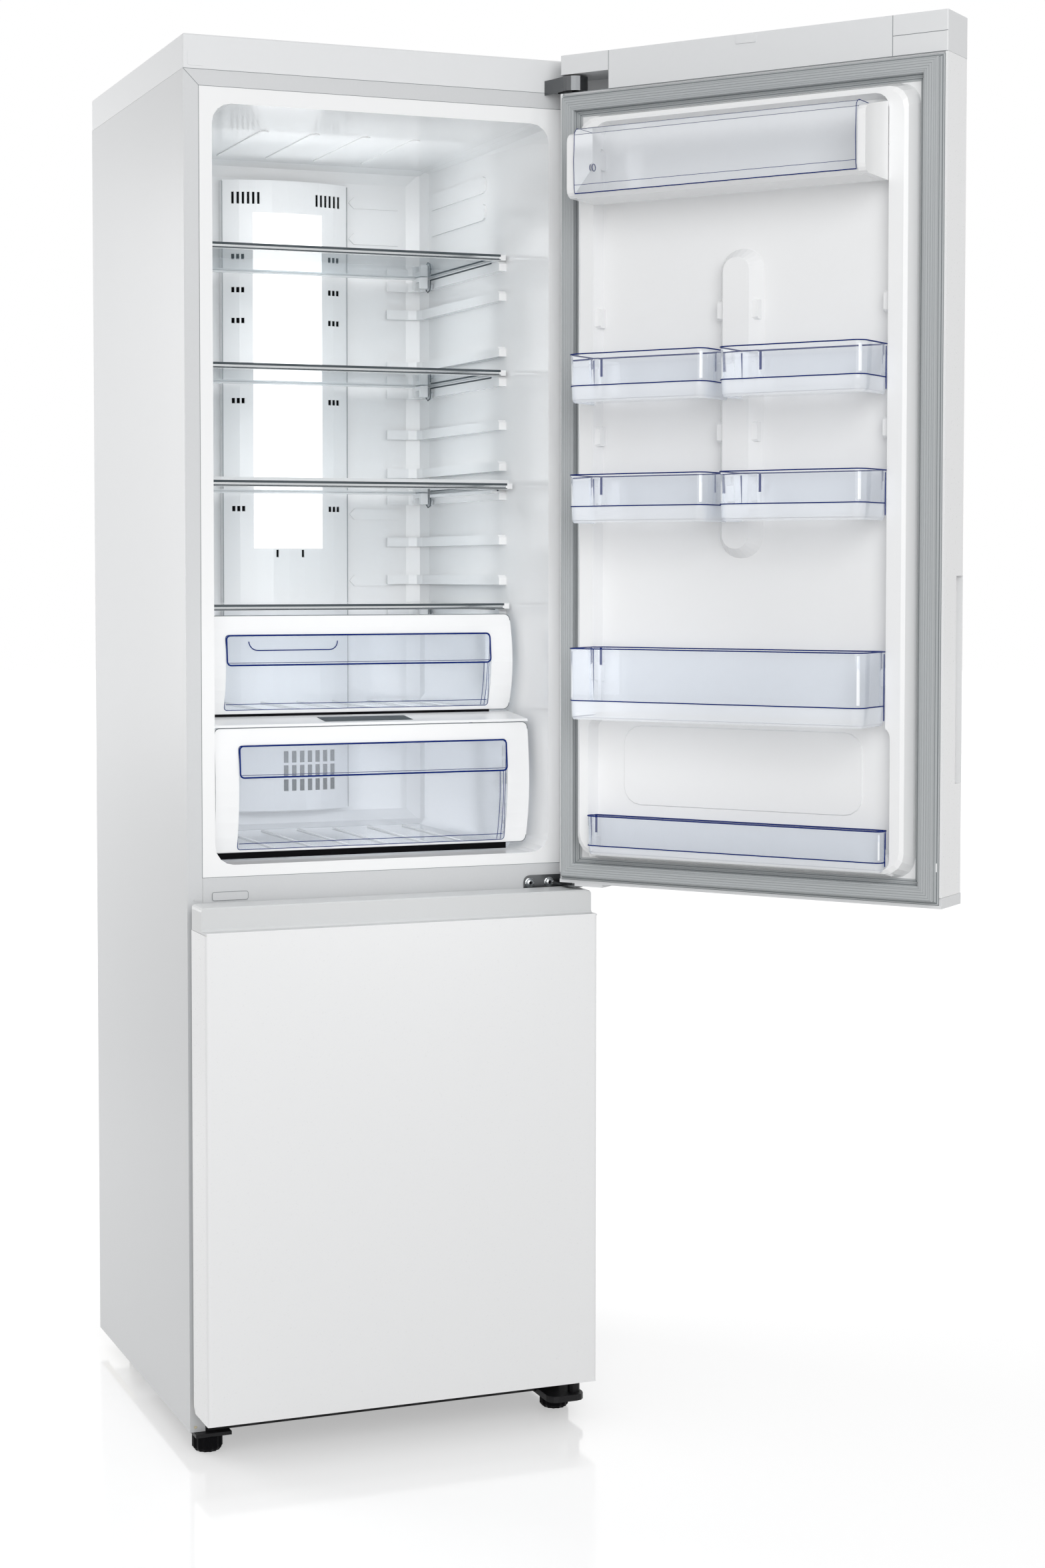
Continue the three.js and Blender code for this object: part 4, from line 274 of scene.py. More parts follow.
@dataclass(frozen=True)
class ClearFinish:
    """A clear finish: nearly open when it faces the eye, and denser and bluer where the eye looks along it."""

    name: str
    face: Point
    edge: Point
    open_alpha: float
    edge_alpha: float
    roughness: float = 0.04
    through: Point = (0.972, 0.984, 1.0)
    haze_scale: Point = (35.0, 35.0, 35.0)

    def build(self) -> bpy.types.Material:
        """Makes the material.

        Returns:
            The material.
        """
        graph = Graph(bpy.data.materials.new(self.name))
        weight = graph.add("LayerWeight", Blend=0.32).outputs["Facing"]
        haze = graph.noise(self.haze_scale, 2.0)
        alpha = graph.add("MapRange", Value=weight, To_Min=self.open_alpha, To_Max=self.edge_alpha)
        rough = graph.add("MapRange", Value=haze, To_Min=self.roughness, To_Max=self.roughness * 1.6)
        colour = graph.tint(weight, self.face, self.edge)
        body = graph.add("BsdfPrincipled", Base_Color=colour, Roughness=rough, IOR=1.5)
        gloss = graph.add("BsdfAnisotropic", Color=WHITE, Roughness=rough)
        clear = graph.add("BsdfTransparent", Color=(*self.through, 1))
        graph.show(graph.blend(graph.add("Fresnel", IOR=1.35), graph.blend(alpha, clear, body), gloss))
        return graph.owner


class Coat(Enum):
    """The finishes of the refrigerator."""

    # A greyer enamel than the doors, darkened further as painted shade on the cabinet's sides; the flange and the rail
    # take it too.
    SIDE_PAINT_AND_SHADE = Finish("side_paint_and_painted_shade", (0.63, 0.64, 0.65), 0.32, Grain.ENAMEL, tone=0.015)
    DOOR_PAINT = Finish("door_paint", (0.855, 0.86, 0.865), 0.30, Grain.ENAMEL, relief=0.03, tone=0.004, coat=0.3)
    LINER = Finish("liner_plastic", (0.90, 0.905, 0.91), 0.13, relief=0.015, tone=0.005)
    WHITE_PLASTIC = Finish("white_plastic", (0.90, 0.905, 0.91), 0.20, relief=0.02, tone=0.01)
    COVER_PLASTIC = Finish("cover_plastic", (0.755, 0.765, 0.775), 0.38, relief=0.06, tone=0.01)
    GREY_PLASTIC = Finish("grey_plastic", (0.60, 0.62, 0.64), 0.36, relief=0.06)
    BAND_PLASTIC = Finish("band_plastic", (0.665, 0.675, 0.68), 0.34, tone=0.01)
    BLACK_PLASTIC = Finish("black_plastic", (0.004, 0.004, 0.005), 0.42, relief=0.1, shine=0.04)
    GASKET = Finish("gasket_rubber", (0.44, 0.46, 0.47), 0.50, Grain.RUBBER)
    STEEL = Finish("hinge_steel", (0.14, 0.145, 0.15), 0.25, Grain.BRUSHED, metal=1.0)
    CHROME = Finish("chrome", (0.55, 0.57, 0.58), 0.16, Grain.POLISHED, metal=1.0, relief=0.0)
    GALVANISED = Finish("galvanised", (0.46, 0.48, 0.49), 0.45, Grain.SPANGLE, metal=0.8, relief=0.03, tone=0.1)
    ALUMINIUM = Finish("aluminium", (0.60, 0.60, 0.61), 0.38, Grain.BRUSHED, metal=1.0)
    BLACK_STEEL = Finish("black_steel", (0.010, 0.010, 0.011), 0.45, Grain.ENAMEL, relief=0.1, shine=0.2)
    FOAM = Finish("foam", (0.78, 0.70, 0.50), 0.9, Grain.CELLS, relief=0.6, tone=0.1)
    LIGHT = Finish("light_diffuser", (0.95, 0.96, 0.98), 0.3, relief=0.0, glow=0.8)
    # Painted shade: black inside the duct's slots, under the drawer fronts and in the hinge screws' recesses.
    PAINTED_SHADE = Finish("painted_shade", (0.004, 0.004, 0.005), 0.9, Grain.RUBBER, shine=0.05)
    # Dark grey: the crisper cover's own strip, painted shade on the shelves' side edges, on the hook curls and behind
    # the return-air grille, and a painted dark reflection on each shelf bar.
    DARK_TRIM_AND_SHADE = Finish("dark_trim_and_painted_shade", (0.07, 0.085, 0.095), 0.45, shine=0.15)
    # Dark lines: seams and joints, the outline round each drawer front, and painted shade in the gasket's folds.
    LINE = Finish("seam_and_painted_shade_line", (0.20, 0.22, 0.23), 0.7, Grain.RUBBER, shine=0.1)
    # Softer dark lines: the duct panel's edges, and painted shade in the gasket's folds.
    SOFT_LINE = Finish("soft_line", (0.38, 0.40, 0.41), 0.6, Grain.RUBBER, shine=0.1)
    NAVY = Finish("clear_edge", (0.003, 0.018, 0.150), 0.4, relief=0.0, shine=0.05)
    # Painted highlight: pale strips on the clear bins' rounded corners.
    PAINTED_HIGHLIGHT = Finish("painted_corner_highlight", (0.90, 0.92, 0.95), 0.15, relief=0.0, tone=0.01)
    MILK = ClearFinish("base_band", (0.95, 0.97, 1.0), (0.80, 0.87, 0.98), 0.46, 0.66, 0.08)
    TUB = ClearFinish("drawer_tub", (0.90, 0.94, 0.98), (0.74, 0.82, 0.94), 0.50, 0.68, 0.10)
    CLEAR = ClearFinish("clear_plastic", (0.90, 0.94, 1.0), (0.60, 0.71, 0.93), 0.10, 0.34)
    GLASS = ClearFinish("shelf_glass", (0.86, 0.93, 0.94), (0.46, 0.60, 0.70), 0.05, 0.60, 0.02, (0.95, 0.975, 0.99))


@cache
def paint(coat: Coat) -> bpy.types.Material:
    """The material of a finish, built on the first call."""
    return coat.value.build()


COATS_OF_NODES: dict[Coat, str] = {
    Coat.SIDE_PAINT_AND_SHADE: "cabinet_shell cross_rail",
    Coat.DOOR_PAINT: "fridge_door_skin freezer_door_skin",
    Coat.COVER_PLASTIC: "top_cover fridge_door_top_cap fridge_door_bottom_cap",
    Coat.LINER: "fridge_liner",
    Coat.WHITE_PLASTIC: "freezer_liner duct_panel shelf_top_frame shelf_second_frame"
    " shelf_bottom_frame sliding_shelf_frame crisper_cover freezer_duct_cover fridge_door_liner dairy_box"
    " freezer_door_liner upper_drawer_front lower_drawer_front",
    Coat.BAND_PLASTIC: "freezer_door_grip_band",
    Coat.BLACK_PLASTIC: "foot_left foot_right roller_left roller_right evaporator_fan drip_tray",
    Coat.GASKET: "fridge_door_gasket freezer_door_gasket",
    Coat.STEEL: "middle_hinge top_hinge_cover",
    Coat.GALVANISED: "back_panel compressor_base",
    Coat.ALUMINIUM: "evaporator",
    Coat.BLACK_STEEL: "compressor bottom_hinge bottom_frame top_hinge",
    Coat.FOAM: "cabinet_insulation fridge_door_insulation freezer_door_insulation",
    Coat.LIGHT: "light_panel",
    Coat.CLEAR: "upper_drawer_tub lower_drawer_tub bin_upper_right bin_upper_left bin_lower_right bin_lower_left"
    " bin_deep bin_bottom dairy_lid freezer_drawer_top freezer_drawer_middle freezer_drawer_bottom",
    Coat.GLASS: "shelf_top_glass shelf_second_glass shelf_bottom_glass sliding_shelf_glass",
}


def dress_nodes(nodes: dict[str, bpy.types.Object]) -> None:
    """Gives every CAD node its finish.

    Args:
        nodes: the frame's nodes by name.
    """
    for coat, names in COATS_OF_NODES.items():
        for name in names.split():
            for slot in nodes[name].material_slots:
                slot.material = paint(coat)
            LOG.info("dressed %s in %s", name, coat.name)


def put(name: str, data: bpy.types.ID) -> bpy.types.Object:
    """A new object in the scene."""
    obj = bpy.data.objects.new(name, data)
    bpy.context.scene.collection.objects.link(obj)
    return obj


# ---- forms
def ellipse(across: float, along: float, steps: int = 8) -> np.ndarray:
    """A round section: (across * cos t, along * sin t) for t over one turn."""
    turn = np.linspace(0, 2 * math.pi, steps, endpoint=False)
    return np.stack([across * np.cos(turn), along * np.sin(turn)], -1)


def oblong(across: float, along: float, nip: float = 0.0) -> np.ndarray:
    """A flat section whose corners may be nipped off.

    Args:
        across: half its size across.
        along: half its size along.
        nip: length taken off each side at a corner.

    Returns:
        The pairs.
    """
    a, b, n = across, along, nip
    if not n:
        return np.array([(-a, -b), (a, -b), (a, b), (-a, b)])
    right = [(a - n, -b), (a, -b + n), (a, b - n), (a - n, b)]
    return np.array([(-a + n, -b), *right, (-a + n, b), (-a, b - n), (-a, -b + n)])


def bow(u: float, v: float, radius: float, start: float, end: float, steps: int = 8) -> np.ndarray:
    """Points (u + r cos t, v + r sin t) for t in degrees from start to end."""
    turn = np.radians(np.linspace(start, end, steps + 1))
    return np.stack([u + radius * np.cos(turn), v + radius * np.sin(turn)], -1)


def box_loop(half: float, low: float, high: float) -> np.ndarray:
    """The corners of an upright rectangle from -half to half and from low to high."""
    return np.array([(-half, low), (half, low), (half, high), (-half, high)], float)


def rounded_loop(half: float, low: float, high: float, radius: float) -> np.ndarray:
    """A box_loop whose corners are quarter circles of that radius."""
    u, v0, v1 = half - radius, low + radius, high - radius
    corners = ((u, v0, -90), (u, v1, 0), (-u, v1, 90), (-u, v0, 180))
    return np.concatenate([bow(x, z, radius, start, start + 90, 5) for x, z, start in corners])


def stand(pairs: Pairs, at: float | np.ndarray) -> np.ndarray:
    """Pairs (x, z) set up at a y of their own or of all."""
    return np.insert(np.asarray(pairs, float), 1, at, 1)


def lie(pairs: Pairs, at: float) -> np.ndarray:
    """Pairs (x, y) laid at one z."""
    return np.insert(np.asarray(pairs, float), 2, at, 1)


def side_on(pairs: Pairs, at: float) -> np.ndarray:
    """Pairs (y, z) set up at one x."""
    return np.insert(np.asarray(pairs, float), 0, at, 1)


def unit(vectors: np.ndarray | Point) -> np.ndarray:
    """Vectors of length one in the same directions."""
    return np.asarray(vectors, float) / np.linalg.norm(vectors, axis=-1, keepdims=True)


def ringed(grid: np.ndarray, joined: bool = False) -> Surface:
    """A closed form round rings of points. The sum of a . (b x c), with a, b, c the corners of each triangle seen from
    the first point, is six times the volume. If it is negative, every face is turned round.

    Args:
        grid: the points, ring by ring.
        joined: whether the last ring meets the first. If not, both end rings are filled.

    Returns:
        The vertices and the faces.
    """
    rings, count = grid.shape[:2]
    here, step = np.meshgrid(np.arange(rings - (not joined)), np.arange(count), indexing="ij")
    there, after = (here + 1) % rings, (step + 1) % count
    quads = np.stack([here * count + step, here * count + after, there * count + after, there * count + step], -1)
    faces = [tuple(quad) for quad in quads.reshape(-1, 4).tolist()]
    if not joined:
        faces += [tuple(range(count))[::-1], tuple(range((rings - 1) * count, rings * count))]
    points = grid.reshape(-1, 3)
    fans = np.array([(face[0], face[i], face[i + 1]) for face in faces for i in range(1, len(face) - 1)])
    a, b, c = (points[fans[:, i]] - points[0] for i in range(3))
    return points, [face[::-1] for face in faces] if (a * np.cross(b, c)).sum() < 0 else faces


@dataclass(frozen=True)
class Sheet:
    """A thin clear wall: a grid of points, row by row, that faces one way."""

    grid: np.ndarray | list
    toward: Point = (0.0, 1.0, 0.0)

    def surface(self) -> Surface:
        """One face between each four neighbours, turned so that their mean normal leads toward the stated side.

        Returns:
            The vertices and the faces.
        """
        grid = np.asarray(self.grid, float)
        rows, columns = grid.shape[:2]
        here, step = np.meshgrid(np.arange(rows - 1), np.arange(columns - 1), indexing="ij")
        first = here * columns + step
        quads = np.stack([first, first + 1, first + columns + 1, first + columns], -1).reshape(-1, 4)
        points = grid.reshape(-1, 3)
        a, b, c, d = (points[quads[:, i]] for i in range(4))
        if np.cross(c - a, d - b).sum(0) @ np.asarray(self.toward) < 0:
            quads = quads[:, ::-1]
        return points, [tuple(quad) for quad in quads.tolist()]


@dataclass(frozen=True)
class Strand:
    """One section drawn along a path that lies in a plane, or nearly."""

    path: np.ndarray | list
    section: np.ndarray
    normal: Point = (0.0, 1.0, 0.0)
    closed: bool = False
    least_cosine: float = 0.4

    def surface(self) -> Surface:
        """Each ring is a point of the path plus a times the side and b times the normal for each pair (a, b) of
        the section. The side is square to both the normal and the mean of the two runs that meet there, and it is
        divided by the cosine between that mean and the next run, so that corners are mitred.

        Returns:
            The vertices, and the faces between neighbouring rings, with both ends closed.
        """
        path, normal = np.asarray(self.path, float), unit(self.normal)
        ahead, behind = np.roll(path, -1, 0) - path, path - np.roll(path, 1, 0)
        if not self.closed:
            ahead[-1], behind[0] = behind[-1], ahead[0]
        ahead, behind = unit(ahead), unit(behind)
        mean = unit(ahead + behind)
        side = unit(np.cross(normal, mean))
        side /= np.maximum((mean * ahead).sum(1, keepdims=True), self.least_cosine)
        a, b = self.section[None, :, 0, None], self.section[None, :, 1, None]
        return ringed(path[:, None] + a * side[:, None] + b * normal, self.closed)


@dataclass(frozen=True)
class Dome:
    """A profile of (radius, reach) turned about an axis through a centre; both ends lie on the axis or near it."""

    centre: Point
    axis: Point
    profile: Outline
    steps: int = 24

    def surface(self) -> Surface:
        """Rings centre + reach * axis + radius * (cos t * u + sin t * v), with u and v square to the axis.

        Returns:
            The vertices, and the faces between the rings, with the first and last ring closed.
        """
        axis = np.asarray(self.axis, float)
        u = unit(np.cross(axis, (0.3, 0.5, 0.8)))
        v = np.cross(axis, u)
        circle = ellipse(1.0, 1.0, self.steps)
        spokes = circle[:, :1] * u + circle[:, 1:] * v
        radius, reach = np.array(self.profile, float).T
        return ringed(np.asarray(self.centre, float) + reach[:, None, None] * axis + radius[:, None, None] * spokes)


@dataclass(frozen=True)
class Piece:
    """A finished piece: its forms, its finish, the body it moves with and the nodes it stands for."""

    name: str
    coat: Coat
    body: str
    forms: list[Strand | Dome | Sheet]
    stands_for: tuple[str, ...] = ()
    crease: float = 40.0

    def build(self, space: Space) -> None:
        """Joins the forms into one mesh and hands it to the frame.

        Args:
            space: the drawing space of the forms.
        """
        points, faces, start = [], [], 0
        for form in self.forms:
            own, corners = form.surface()
            points.append(own)
            faces += [tuple(corner + start for corner in face) for face in corners]
            start += len(own)
        mesh = bpy.data.meshes.new(self.name)
        mesh.from_pydata(space.place(np.concatenate(points)).tolist(), [], faces)
        mesh.polygons.foreach_set("use_smooth", [True] * len(faces))
        mesh.set_sharp_from_angle(angle=math.radians(self.crease))
        mesh.materials.append(paint(self.coat))
        obj = put(self.name, mesh)
        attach(obj, self.body)
        if self.stands_for:
            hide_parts(*self.stands_for)
        LOG.info("piece %s: %d faces on %s", self.name, len(faces), self.body)


# ---- pieces of the cabinet
UP = (0.0, 0.0, 1.0)
DOWN = (0.0, 0.0, -1.0)
FRONTWARD = (0.0, -1.0, 0.0)
SIDEWAYS = (1.0, 0.0, 0.0)
SIDES = (-1, 1)


@dataclass(frozen=True)
class Shelf:
    """A glass shelf's front edge, its painted shade side lines and the hooks behind it."""

    name: str
    body: str
    bottom: float
    front: float
    high: float = 9.0
    bar_ends: Pair = (-238.0, 241.0)
    cap_ends: Pair = (239.0, 249.6)
    line_ends: Pair = (240.0, 233.0)
    back: float = 430.0
    hook_x: float = 229.0
    curl_x: float = 226.6
    hook: Outline = ((8, 0), (6, -13), (0, -18), (-8, -16), (-10, -9))
    curl: Outline = ((-12.8, -2), (-13.6, -10), (-10, -18.6), (-1, -21.2), (8, -16))

    def pieces(self) -> list[Piece]:
        """A polished half-round bar between two dark lines, the upper a painted dark reflection on the bar, two white
        end caps, and on each side a painted shade line along the glass's side edge and a hook with a painted shade
        line on its curl. The hook's and the curl's points count from the back of the underside.

        Returns:
            The pieces.
        """
        middle, half = self.bottom + self.high / 2, self.high / 2
        run = np.array([(x, self.front - 0.2, middle) for x in self.bar_ends])
        # The upper bar line is a painted dark reflection on the polished bar; the lower is a thin dark line under it.
        lines = [
            Strand(run + (0, -1.0, rise), oblong(0.45, tall, 0.15), UP)
            for rise, tall in ((half - 1.9, 1.7), (0.9 - half, 0.55))]
        corner, depths = (self.back, self.bottom), (self.front + 34, self.back)
        # Painted shade: a dark line along each side edge of the glass, and one on each hook's curl.
        arms = [
            Strand([(side * x, y, self.bottom - 0.8) for x, y in zip(self.line_ends, depths)],
                   ellipse(1.5, 1.2, 6), UP) for side in SIDES]
        hooks = [
            Strand(side_on(np.add(self.hook, corner), side * self.hook_x), ellipse(2.4, 3.4), SIDEWAYS)
            for side in SIDES]
        curls = [
            Strand(side_on(np.add(self.curl, corner), side * self.curl_x), ellipse(0.8, 0.8, 6), SIDEWAYS)
            for side in SIDES]
        caps = [
            Strand([(side * x, self.front - 0.4, middle) for x in self.cap_ends], oblong(0.8, half - 0.3, 0.6), UP)
            for side in SIDES]
        return [
            Piece(self.name + "_bar", Coat.CHROME, self.body, [Strand(run, ellipse(1.0, half - 1.6, 16), UP)]),
            Piece(self.name + "_bar_lines", Coat.DARK_TRIM_AND_SHADE, self.body, lines),
            Piece(self.name + "_ends", Coat.WHITE_PLASTIC, self.body, caps),
            Piece(self.name + "_side_shade_lines", Coat.DARK_TRIM_AND_SHADE, self.body, arms),
            Piece(self.name + "_hook_shade_lines", Coat.DARK_TRIM_AND_SHADE, "cabinet", curls),
            Piece(self.name + "_hooks", Coat.GREY_PLASTIC, "cabinet", hooks),
        ]


@dataclass(frozen=True)
class DuctShades:
    """Painted shade behind the slots of the curved duct panel: dark backings where the slots' insides lie in shade;
    and the lines along its two edges.
    """

    edge: float = 482.0
    bulge: float = 20.0
    half: float = 105.0
    foot: float = 873.0
    top: float = 1883.0
    slot_rows: tuple[float, ...] = (1758, 1710, 1661, 1533, 1360)
    slot_columns: Pair = (-92.5, 68.5)
    high_slots: tuple = ((-92.5, -45.5, 1845.5, 1867.5), (45.5, 92.5, 1845.5, 1867.5))
    low_slots: tuple = ((-24, -16, 1281, 1295), (19, 27, 1281, 1295))
    grille: tuple = (-13.0, 81.5, 901, 970)
    behind: float = 3.4

    def shade(self, *slot: float) -> Strand:
        """A strip that follows the panel's face: y = edge - bulge + R - sqrt(R^2 - x^2) + behind.

        Args:
            *slot: its left end, right end, foot and top.

        Returns:
            The strip.
        """
        x0, x1, z0, z1 = slot
        radius = (self.half ** 2 + self.bulge ** 2) / (2 * self.bulge)
        x = np.linspace(x0, x1, 7)
        y = self.edge - self.bulge + radius - np.sqrt(radius ** 2 - x ** 2) + self.behind
        return Strand(lie(np.stack([x, y], -1), (z0 + z1) / 2), oblong(0.3, (z1 - z0) / 2), UP)

    def pieces(self) -> list[Piece]:
        """The painted shade backings of every group of slots, the edge lines and the painted shade backing of the
        return-air grille.

        Returns:
            The pieces.
        """
        sides = [(x, x + 22, z - 5.5, z + 5.5) for z in self.slot_rows for x in self.slot_columns]
        shades = [self.shade(*slot) for slot in (*sides, *self.high_slots, *self.low_slots)]
        edges = [
            Strand([(x, self.edge - 0.6, z) for z in (self.foot, self.top)], ellipse(0.7, 0.7, 6))
            for x in (-self.half - 0.3, self.half + 0.3)]
        return [
            Piece("duct_slot_shades", Coat.PAINTED_SHADE, "cabinet", shades),
            Piece("duct_edge_lines", Coat.SOFT_LINE, "cabinet", edges),
            Piece("duct_grille_shade", Coat.DARK_TRIM_AND_SHADE, "cabinet", [self.shade(*self.grille)]),
        ]


@dataclass(frozen=True)
class Drawer:
    """A windowed drawer: its face bows out as in y = bulge + (edge - bulge) * reach^2."""

    name: str
    bottom: float
    top: float
    top_y: float
    bulge: float
    low_y: float
    window: Pair
    lip_low: float
    gap_low: float
    floor: float
    half: float = 243.7
    pane_half: float = 208.3
    lip_half: float = 207.5
    tub_half: float = 225.0
    tub_back: float = 442.0
    sill_half: float = 208.0
    jamb_half: float = 208.4
    fine_columns: Pair = (203.0, 197.5)
    shadow_ends: Pair = (-238.0, 212.0)

    def face(self, z: np.ndarray | float) -> np.ndarray:
        """The depth y of the face at each height."""
        reach = (np.asarray(z, float) - (self.top + self.bottom) / 2) / ((self.top - self.bottom) / 2)
        return self.bulge + (np.where(reach > 0, self.top_y, self.low_y) - self.bulge) * reach ** 2

    def on_face(self, pairs: Pairs, off: float) -> np.ndarray:
        """Pairs (x, z) laid on the face, moved out by a distance."""
        pairs = np.asarray(pairs, float)
        return stand(pairs, self.face(pairs[:, 1]) - off)

    def bowed(self, half: float, low: float, high: float, off: float) -> Sheet:
        """A sheet on the face from -half to half, between two heights, moved out by a distance."""
        across, up = np.meshgrid(np.linspace(-half, half, 3), np.linspace(low, high, 9))
        return Sheet(np.stack([across, self.face(up) - off, up], -1), FRONTWARD)

    def glazing(self) -> list[Piece]:
        """The clear moulding: pane and lip on the bowed face, and behind them a tub with ribs on its floor.

        Returns:
            The pieces.
        """
        body = self.name + "_drawer"
        low, high = self.window
        front, back, half, top = self.low_y + 5.0, self.tub_back, self.tub_half, self.top - 11.0
        foot, base = self.floor + 2.0, half - 8.0
        upright = np.array([(base, foot), (half, foot + 10), (half, top)])
        cheeks = [
            Sheet([stand(upright * (side, 1), y) for y in (front, back)], (side, 0.0, 0.0)) for side in SIDES]
        rear = Sheet([stand(upright * (side, 1), back) for side in SIDES])
        ground = Sheet([lie([(-base, y), (base, y)], foot) for y in (front - 2, back)], DOWN)
        ribs = [
            Strand([(x, y, foot + 1.6) for y in (front + 14, back - 16)], ellipse(1.5, 1.1), UP)
            for x in np.arange(-3, 4) * 60.0]
        rim = lie([(-half, front), (half, front), (half, back), (-half, back)], top)
        ledge = [(side * self.sill_half, low + 0.6) for side in SIDES]
        sill = Sheet([self.on_face(ledge, -1.4), stand(ledge, front - 2)], DOWN)
        jambs = [np.stack([np.full(9, side * self.jamb_half), np.linspace(low, high, 9)], -1) for side in SIDES]
        reveals = [Sheet([self.on_face(jamb, -1.6), stand(jamb, front)], (jamb[0, 0], 0.0, 0.0)) for jamb in jambs]
        pane = self.bowed(self.pane_half, low, high, -1.4)
        lip = self.bowed(self.lip_half, self.lip_low + 1.2, high - 1.2, 2.0)
        return [
            Piece(body + "_glazing", Coat.CLEAR, body, [pane, lip, *reveals, rear], (body + "_tub",)),
            Piece(body + "_tub_walls", Coat.TUB, body, [*cheeks, ground, sill]),
            Piece(body + "_ribs", Coat.WHITE_PLASTIC, body, ribs),
            Piece(body + "_rim", Coat.NAVY, body, [Strand(rim, ellipse(0.5, 0.5, 6), UP, True)]),
        ]

    def pieces(self) -> list[Piece]:
        """The glazing, the dark outline of the lip, the fine lines of the window and the shadow under the front.

        Returns:
            The pieces.
        """
        low, high = self.window
        body = self.name + "_drawer"
        lip = self.on_face(rounded_loop(self.lip_half, self.lip_low + 1.2, high - 1.2, 6.0), 2.2)
        frame = self.on_face(rounded_loop(self.pane_half, low + 0.8, high - 0.8, 4.5), 0.15)
        outline = self.on_face(rounded_loop(self.half, self.bottom + 0.4, self.top - 0.4, 8.0), 0.1)
        levels = np.linspace(low + 2, self.lip_low, 9)
        upright = [np.stack([np.full(9, x), levels], -1) for x in self.fine_columns]
        across = [np.stack([np.linspace(-206, 206, 5), np.full(5, z)], -1) for z in (low + 9.5, self.lip_low + 4.5)]
        fine = [Strand(self.on_face(line, -1.0), ellipse(0.5, 0.4, 6)) for line in upright + across]
        gap_top = self.bottom + 0.6
        gap = [(x, self.low_y - 1.0, (self.gap_low + gap_top) / 2) for x in self.shadow_ends]
        shadow = Strand(gap, oblong(0.5, (gap_top - self.gap_low) / 2), UP)
        return [
            *self.glazing(),
            Piece(body + "_lip_edge", Coat.NAVY, body, [Strand(lip, ellipse(1.2, 0.7), closed=True)]),
            Piece(body + "_window_edge", Coat.NAVY, body, [Strand(frame, ellipse(0.5, 0.35, 6), closed=True), *fine]),
            Piece(body + "_outline", Coat.LINE, body, [Strand(outline, ellipse(0.6, 0.4, 6), closed=True)]),
            Piece(body + "_shadow", Coat.PAINTED_SHADE, body, [shadow]),
        ]


UPPER_DRAWER = Drawer("upper", 1048.0, 1194.0, 122.0, 108.0, 126.0, (1054.0, 1166.0), 1120.0, 1045.1, 1046.8)
LOWER_DRAWER = Drawer("lower", 851.0, 1033.0, 51.0, 42.0, 58.0, (855.0, 1008.0), 960.0, 842.6, 841.5)


@dataclass(frozen=True)
class Scoop:
    """The half-oval hollow to pull a drawer by: a level line with a quarter round up at each end."""

    drawer: Drawer
    ends: Pair = (-161.0, -50.0)
    level: float = 1156.0
    radius: float = 13.0

    def pieces(self) -> list[Piece]:
        """The scoop's dark line."""
        rounds = [bow(x, self.level, self.radius, start, start + 90, 6) for x, start in zip(self.ends, (180, 270))]
        line = Strand(self.drawer.on_face(np.concatenate(rounds), 2.4), ellipse(0.8, 0.4, 6))
        return [Piece("upper_drawer_scoop", Coat.NAVY, "upper_drawer", [line])]


@dataclass(frozen=True)
class CabinetFront:
    """The seams of the front flange, the rail's plug, the bare strip on the crisper cover and the hinge screws."""

    half_width: float = 298.3
    half_opening: float = 276.0
    opening: Pair = (824.0, 1939.1)
    cover_bottom: float = 1961.6
    screw_xs: Pair = (226.0, 257.0)
    screw_z: float = 796.0
    strip_y: float = 84.0
    cover_edge: Pair = (50.0, 1037.3)
    cover_slope: float = 9.0 / 88.0
    screw_head: Outline = (
        (7.2, 0.0), (7.2, 0.7), (6.4, 1.0), (6.0, 2.6), (4.9, 3.9), (2.9, 4.4), (2.6, 2.6), (0.2, 2.2))
    screw_core: Outline = ((2.5, 0.0), (2.5, 0.3), (0.2, 0.3))

    def pieces(self) -> list[Piece]:
        """The seams round the opening, over the flange's upper corners and under the cover, the outline of the
        rail's plug, the strip that slopes with the crisper cover, and the two screws with painted shade in their
        recesses.

        Returns:
            The pieces.
        """
        thin = oblong(0.3, 0.12)
        low, high = self.opening
        opening = stand(box_loop(self.half_opening + 0.15, low + 0.1, high - 0.1), -0.05)
        mitres = [
            stand([(side * (self.half_width - 0.1), self.cover_bottom - 0.3), (side * self.half_opening, high)], -0.05)
            for side in SIDES]
        cover = stand([(side * self.half_width, self.cover_bottom + 0.1) for side in SIDES], -0.05)
        seams = [Strand(opening, thin, closed=True), *(Strand(line, thin) for line in (*mitres, cover))]
        plug = stand(rounded_loop(26.5, 791, 803, 3) + (-235.5, 0), -1.05)
        edge_y, edge_z = self.cover_edge
        height = edge_z + (self.strip_y - edge_y) * self.cover_slope + 0.35
        strip = Strand(lie([(-71.0, self.strip_y), (66.0, self.strip_y)], height), oblong(20.0, 0.2),
                       (0.0, -self.cover_slope, 1.0))
        heads = [Dome((x, -3.0, self.screw_z), FRONTWARD, self.screw_head) for x in self.screw_xs]
        # The cores are painted shade: dark discs in the hollows of the screw heads.
        cores = [Dome((x, -5.6, self.screw_z), FRONTWARD, self.screw_core) for x in self.screw_xs]
        return [
            Piece("flange_seams", Coat.LINE, "cabinet", seams),
            Piece("rail_plug_outline", Coat.LINE, "cabinet", [Strand(plug, thin, closed=True)]),
            Piece("crisper_strip", Coat.DARK_TRIM_AND_SHADE, "cabinet", [strip]),
            Piece("middle_hinge_screws", Coat.CHROME, "cabinet", heads),
            Piece("middle_hinge_screw_recess_shade", Coat.PAINTED_SHADE, "cabinet", cores),
        ]


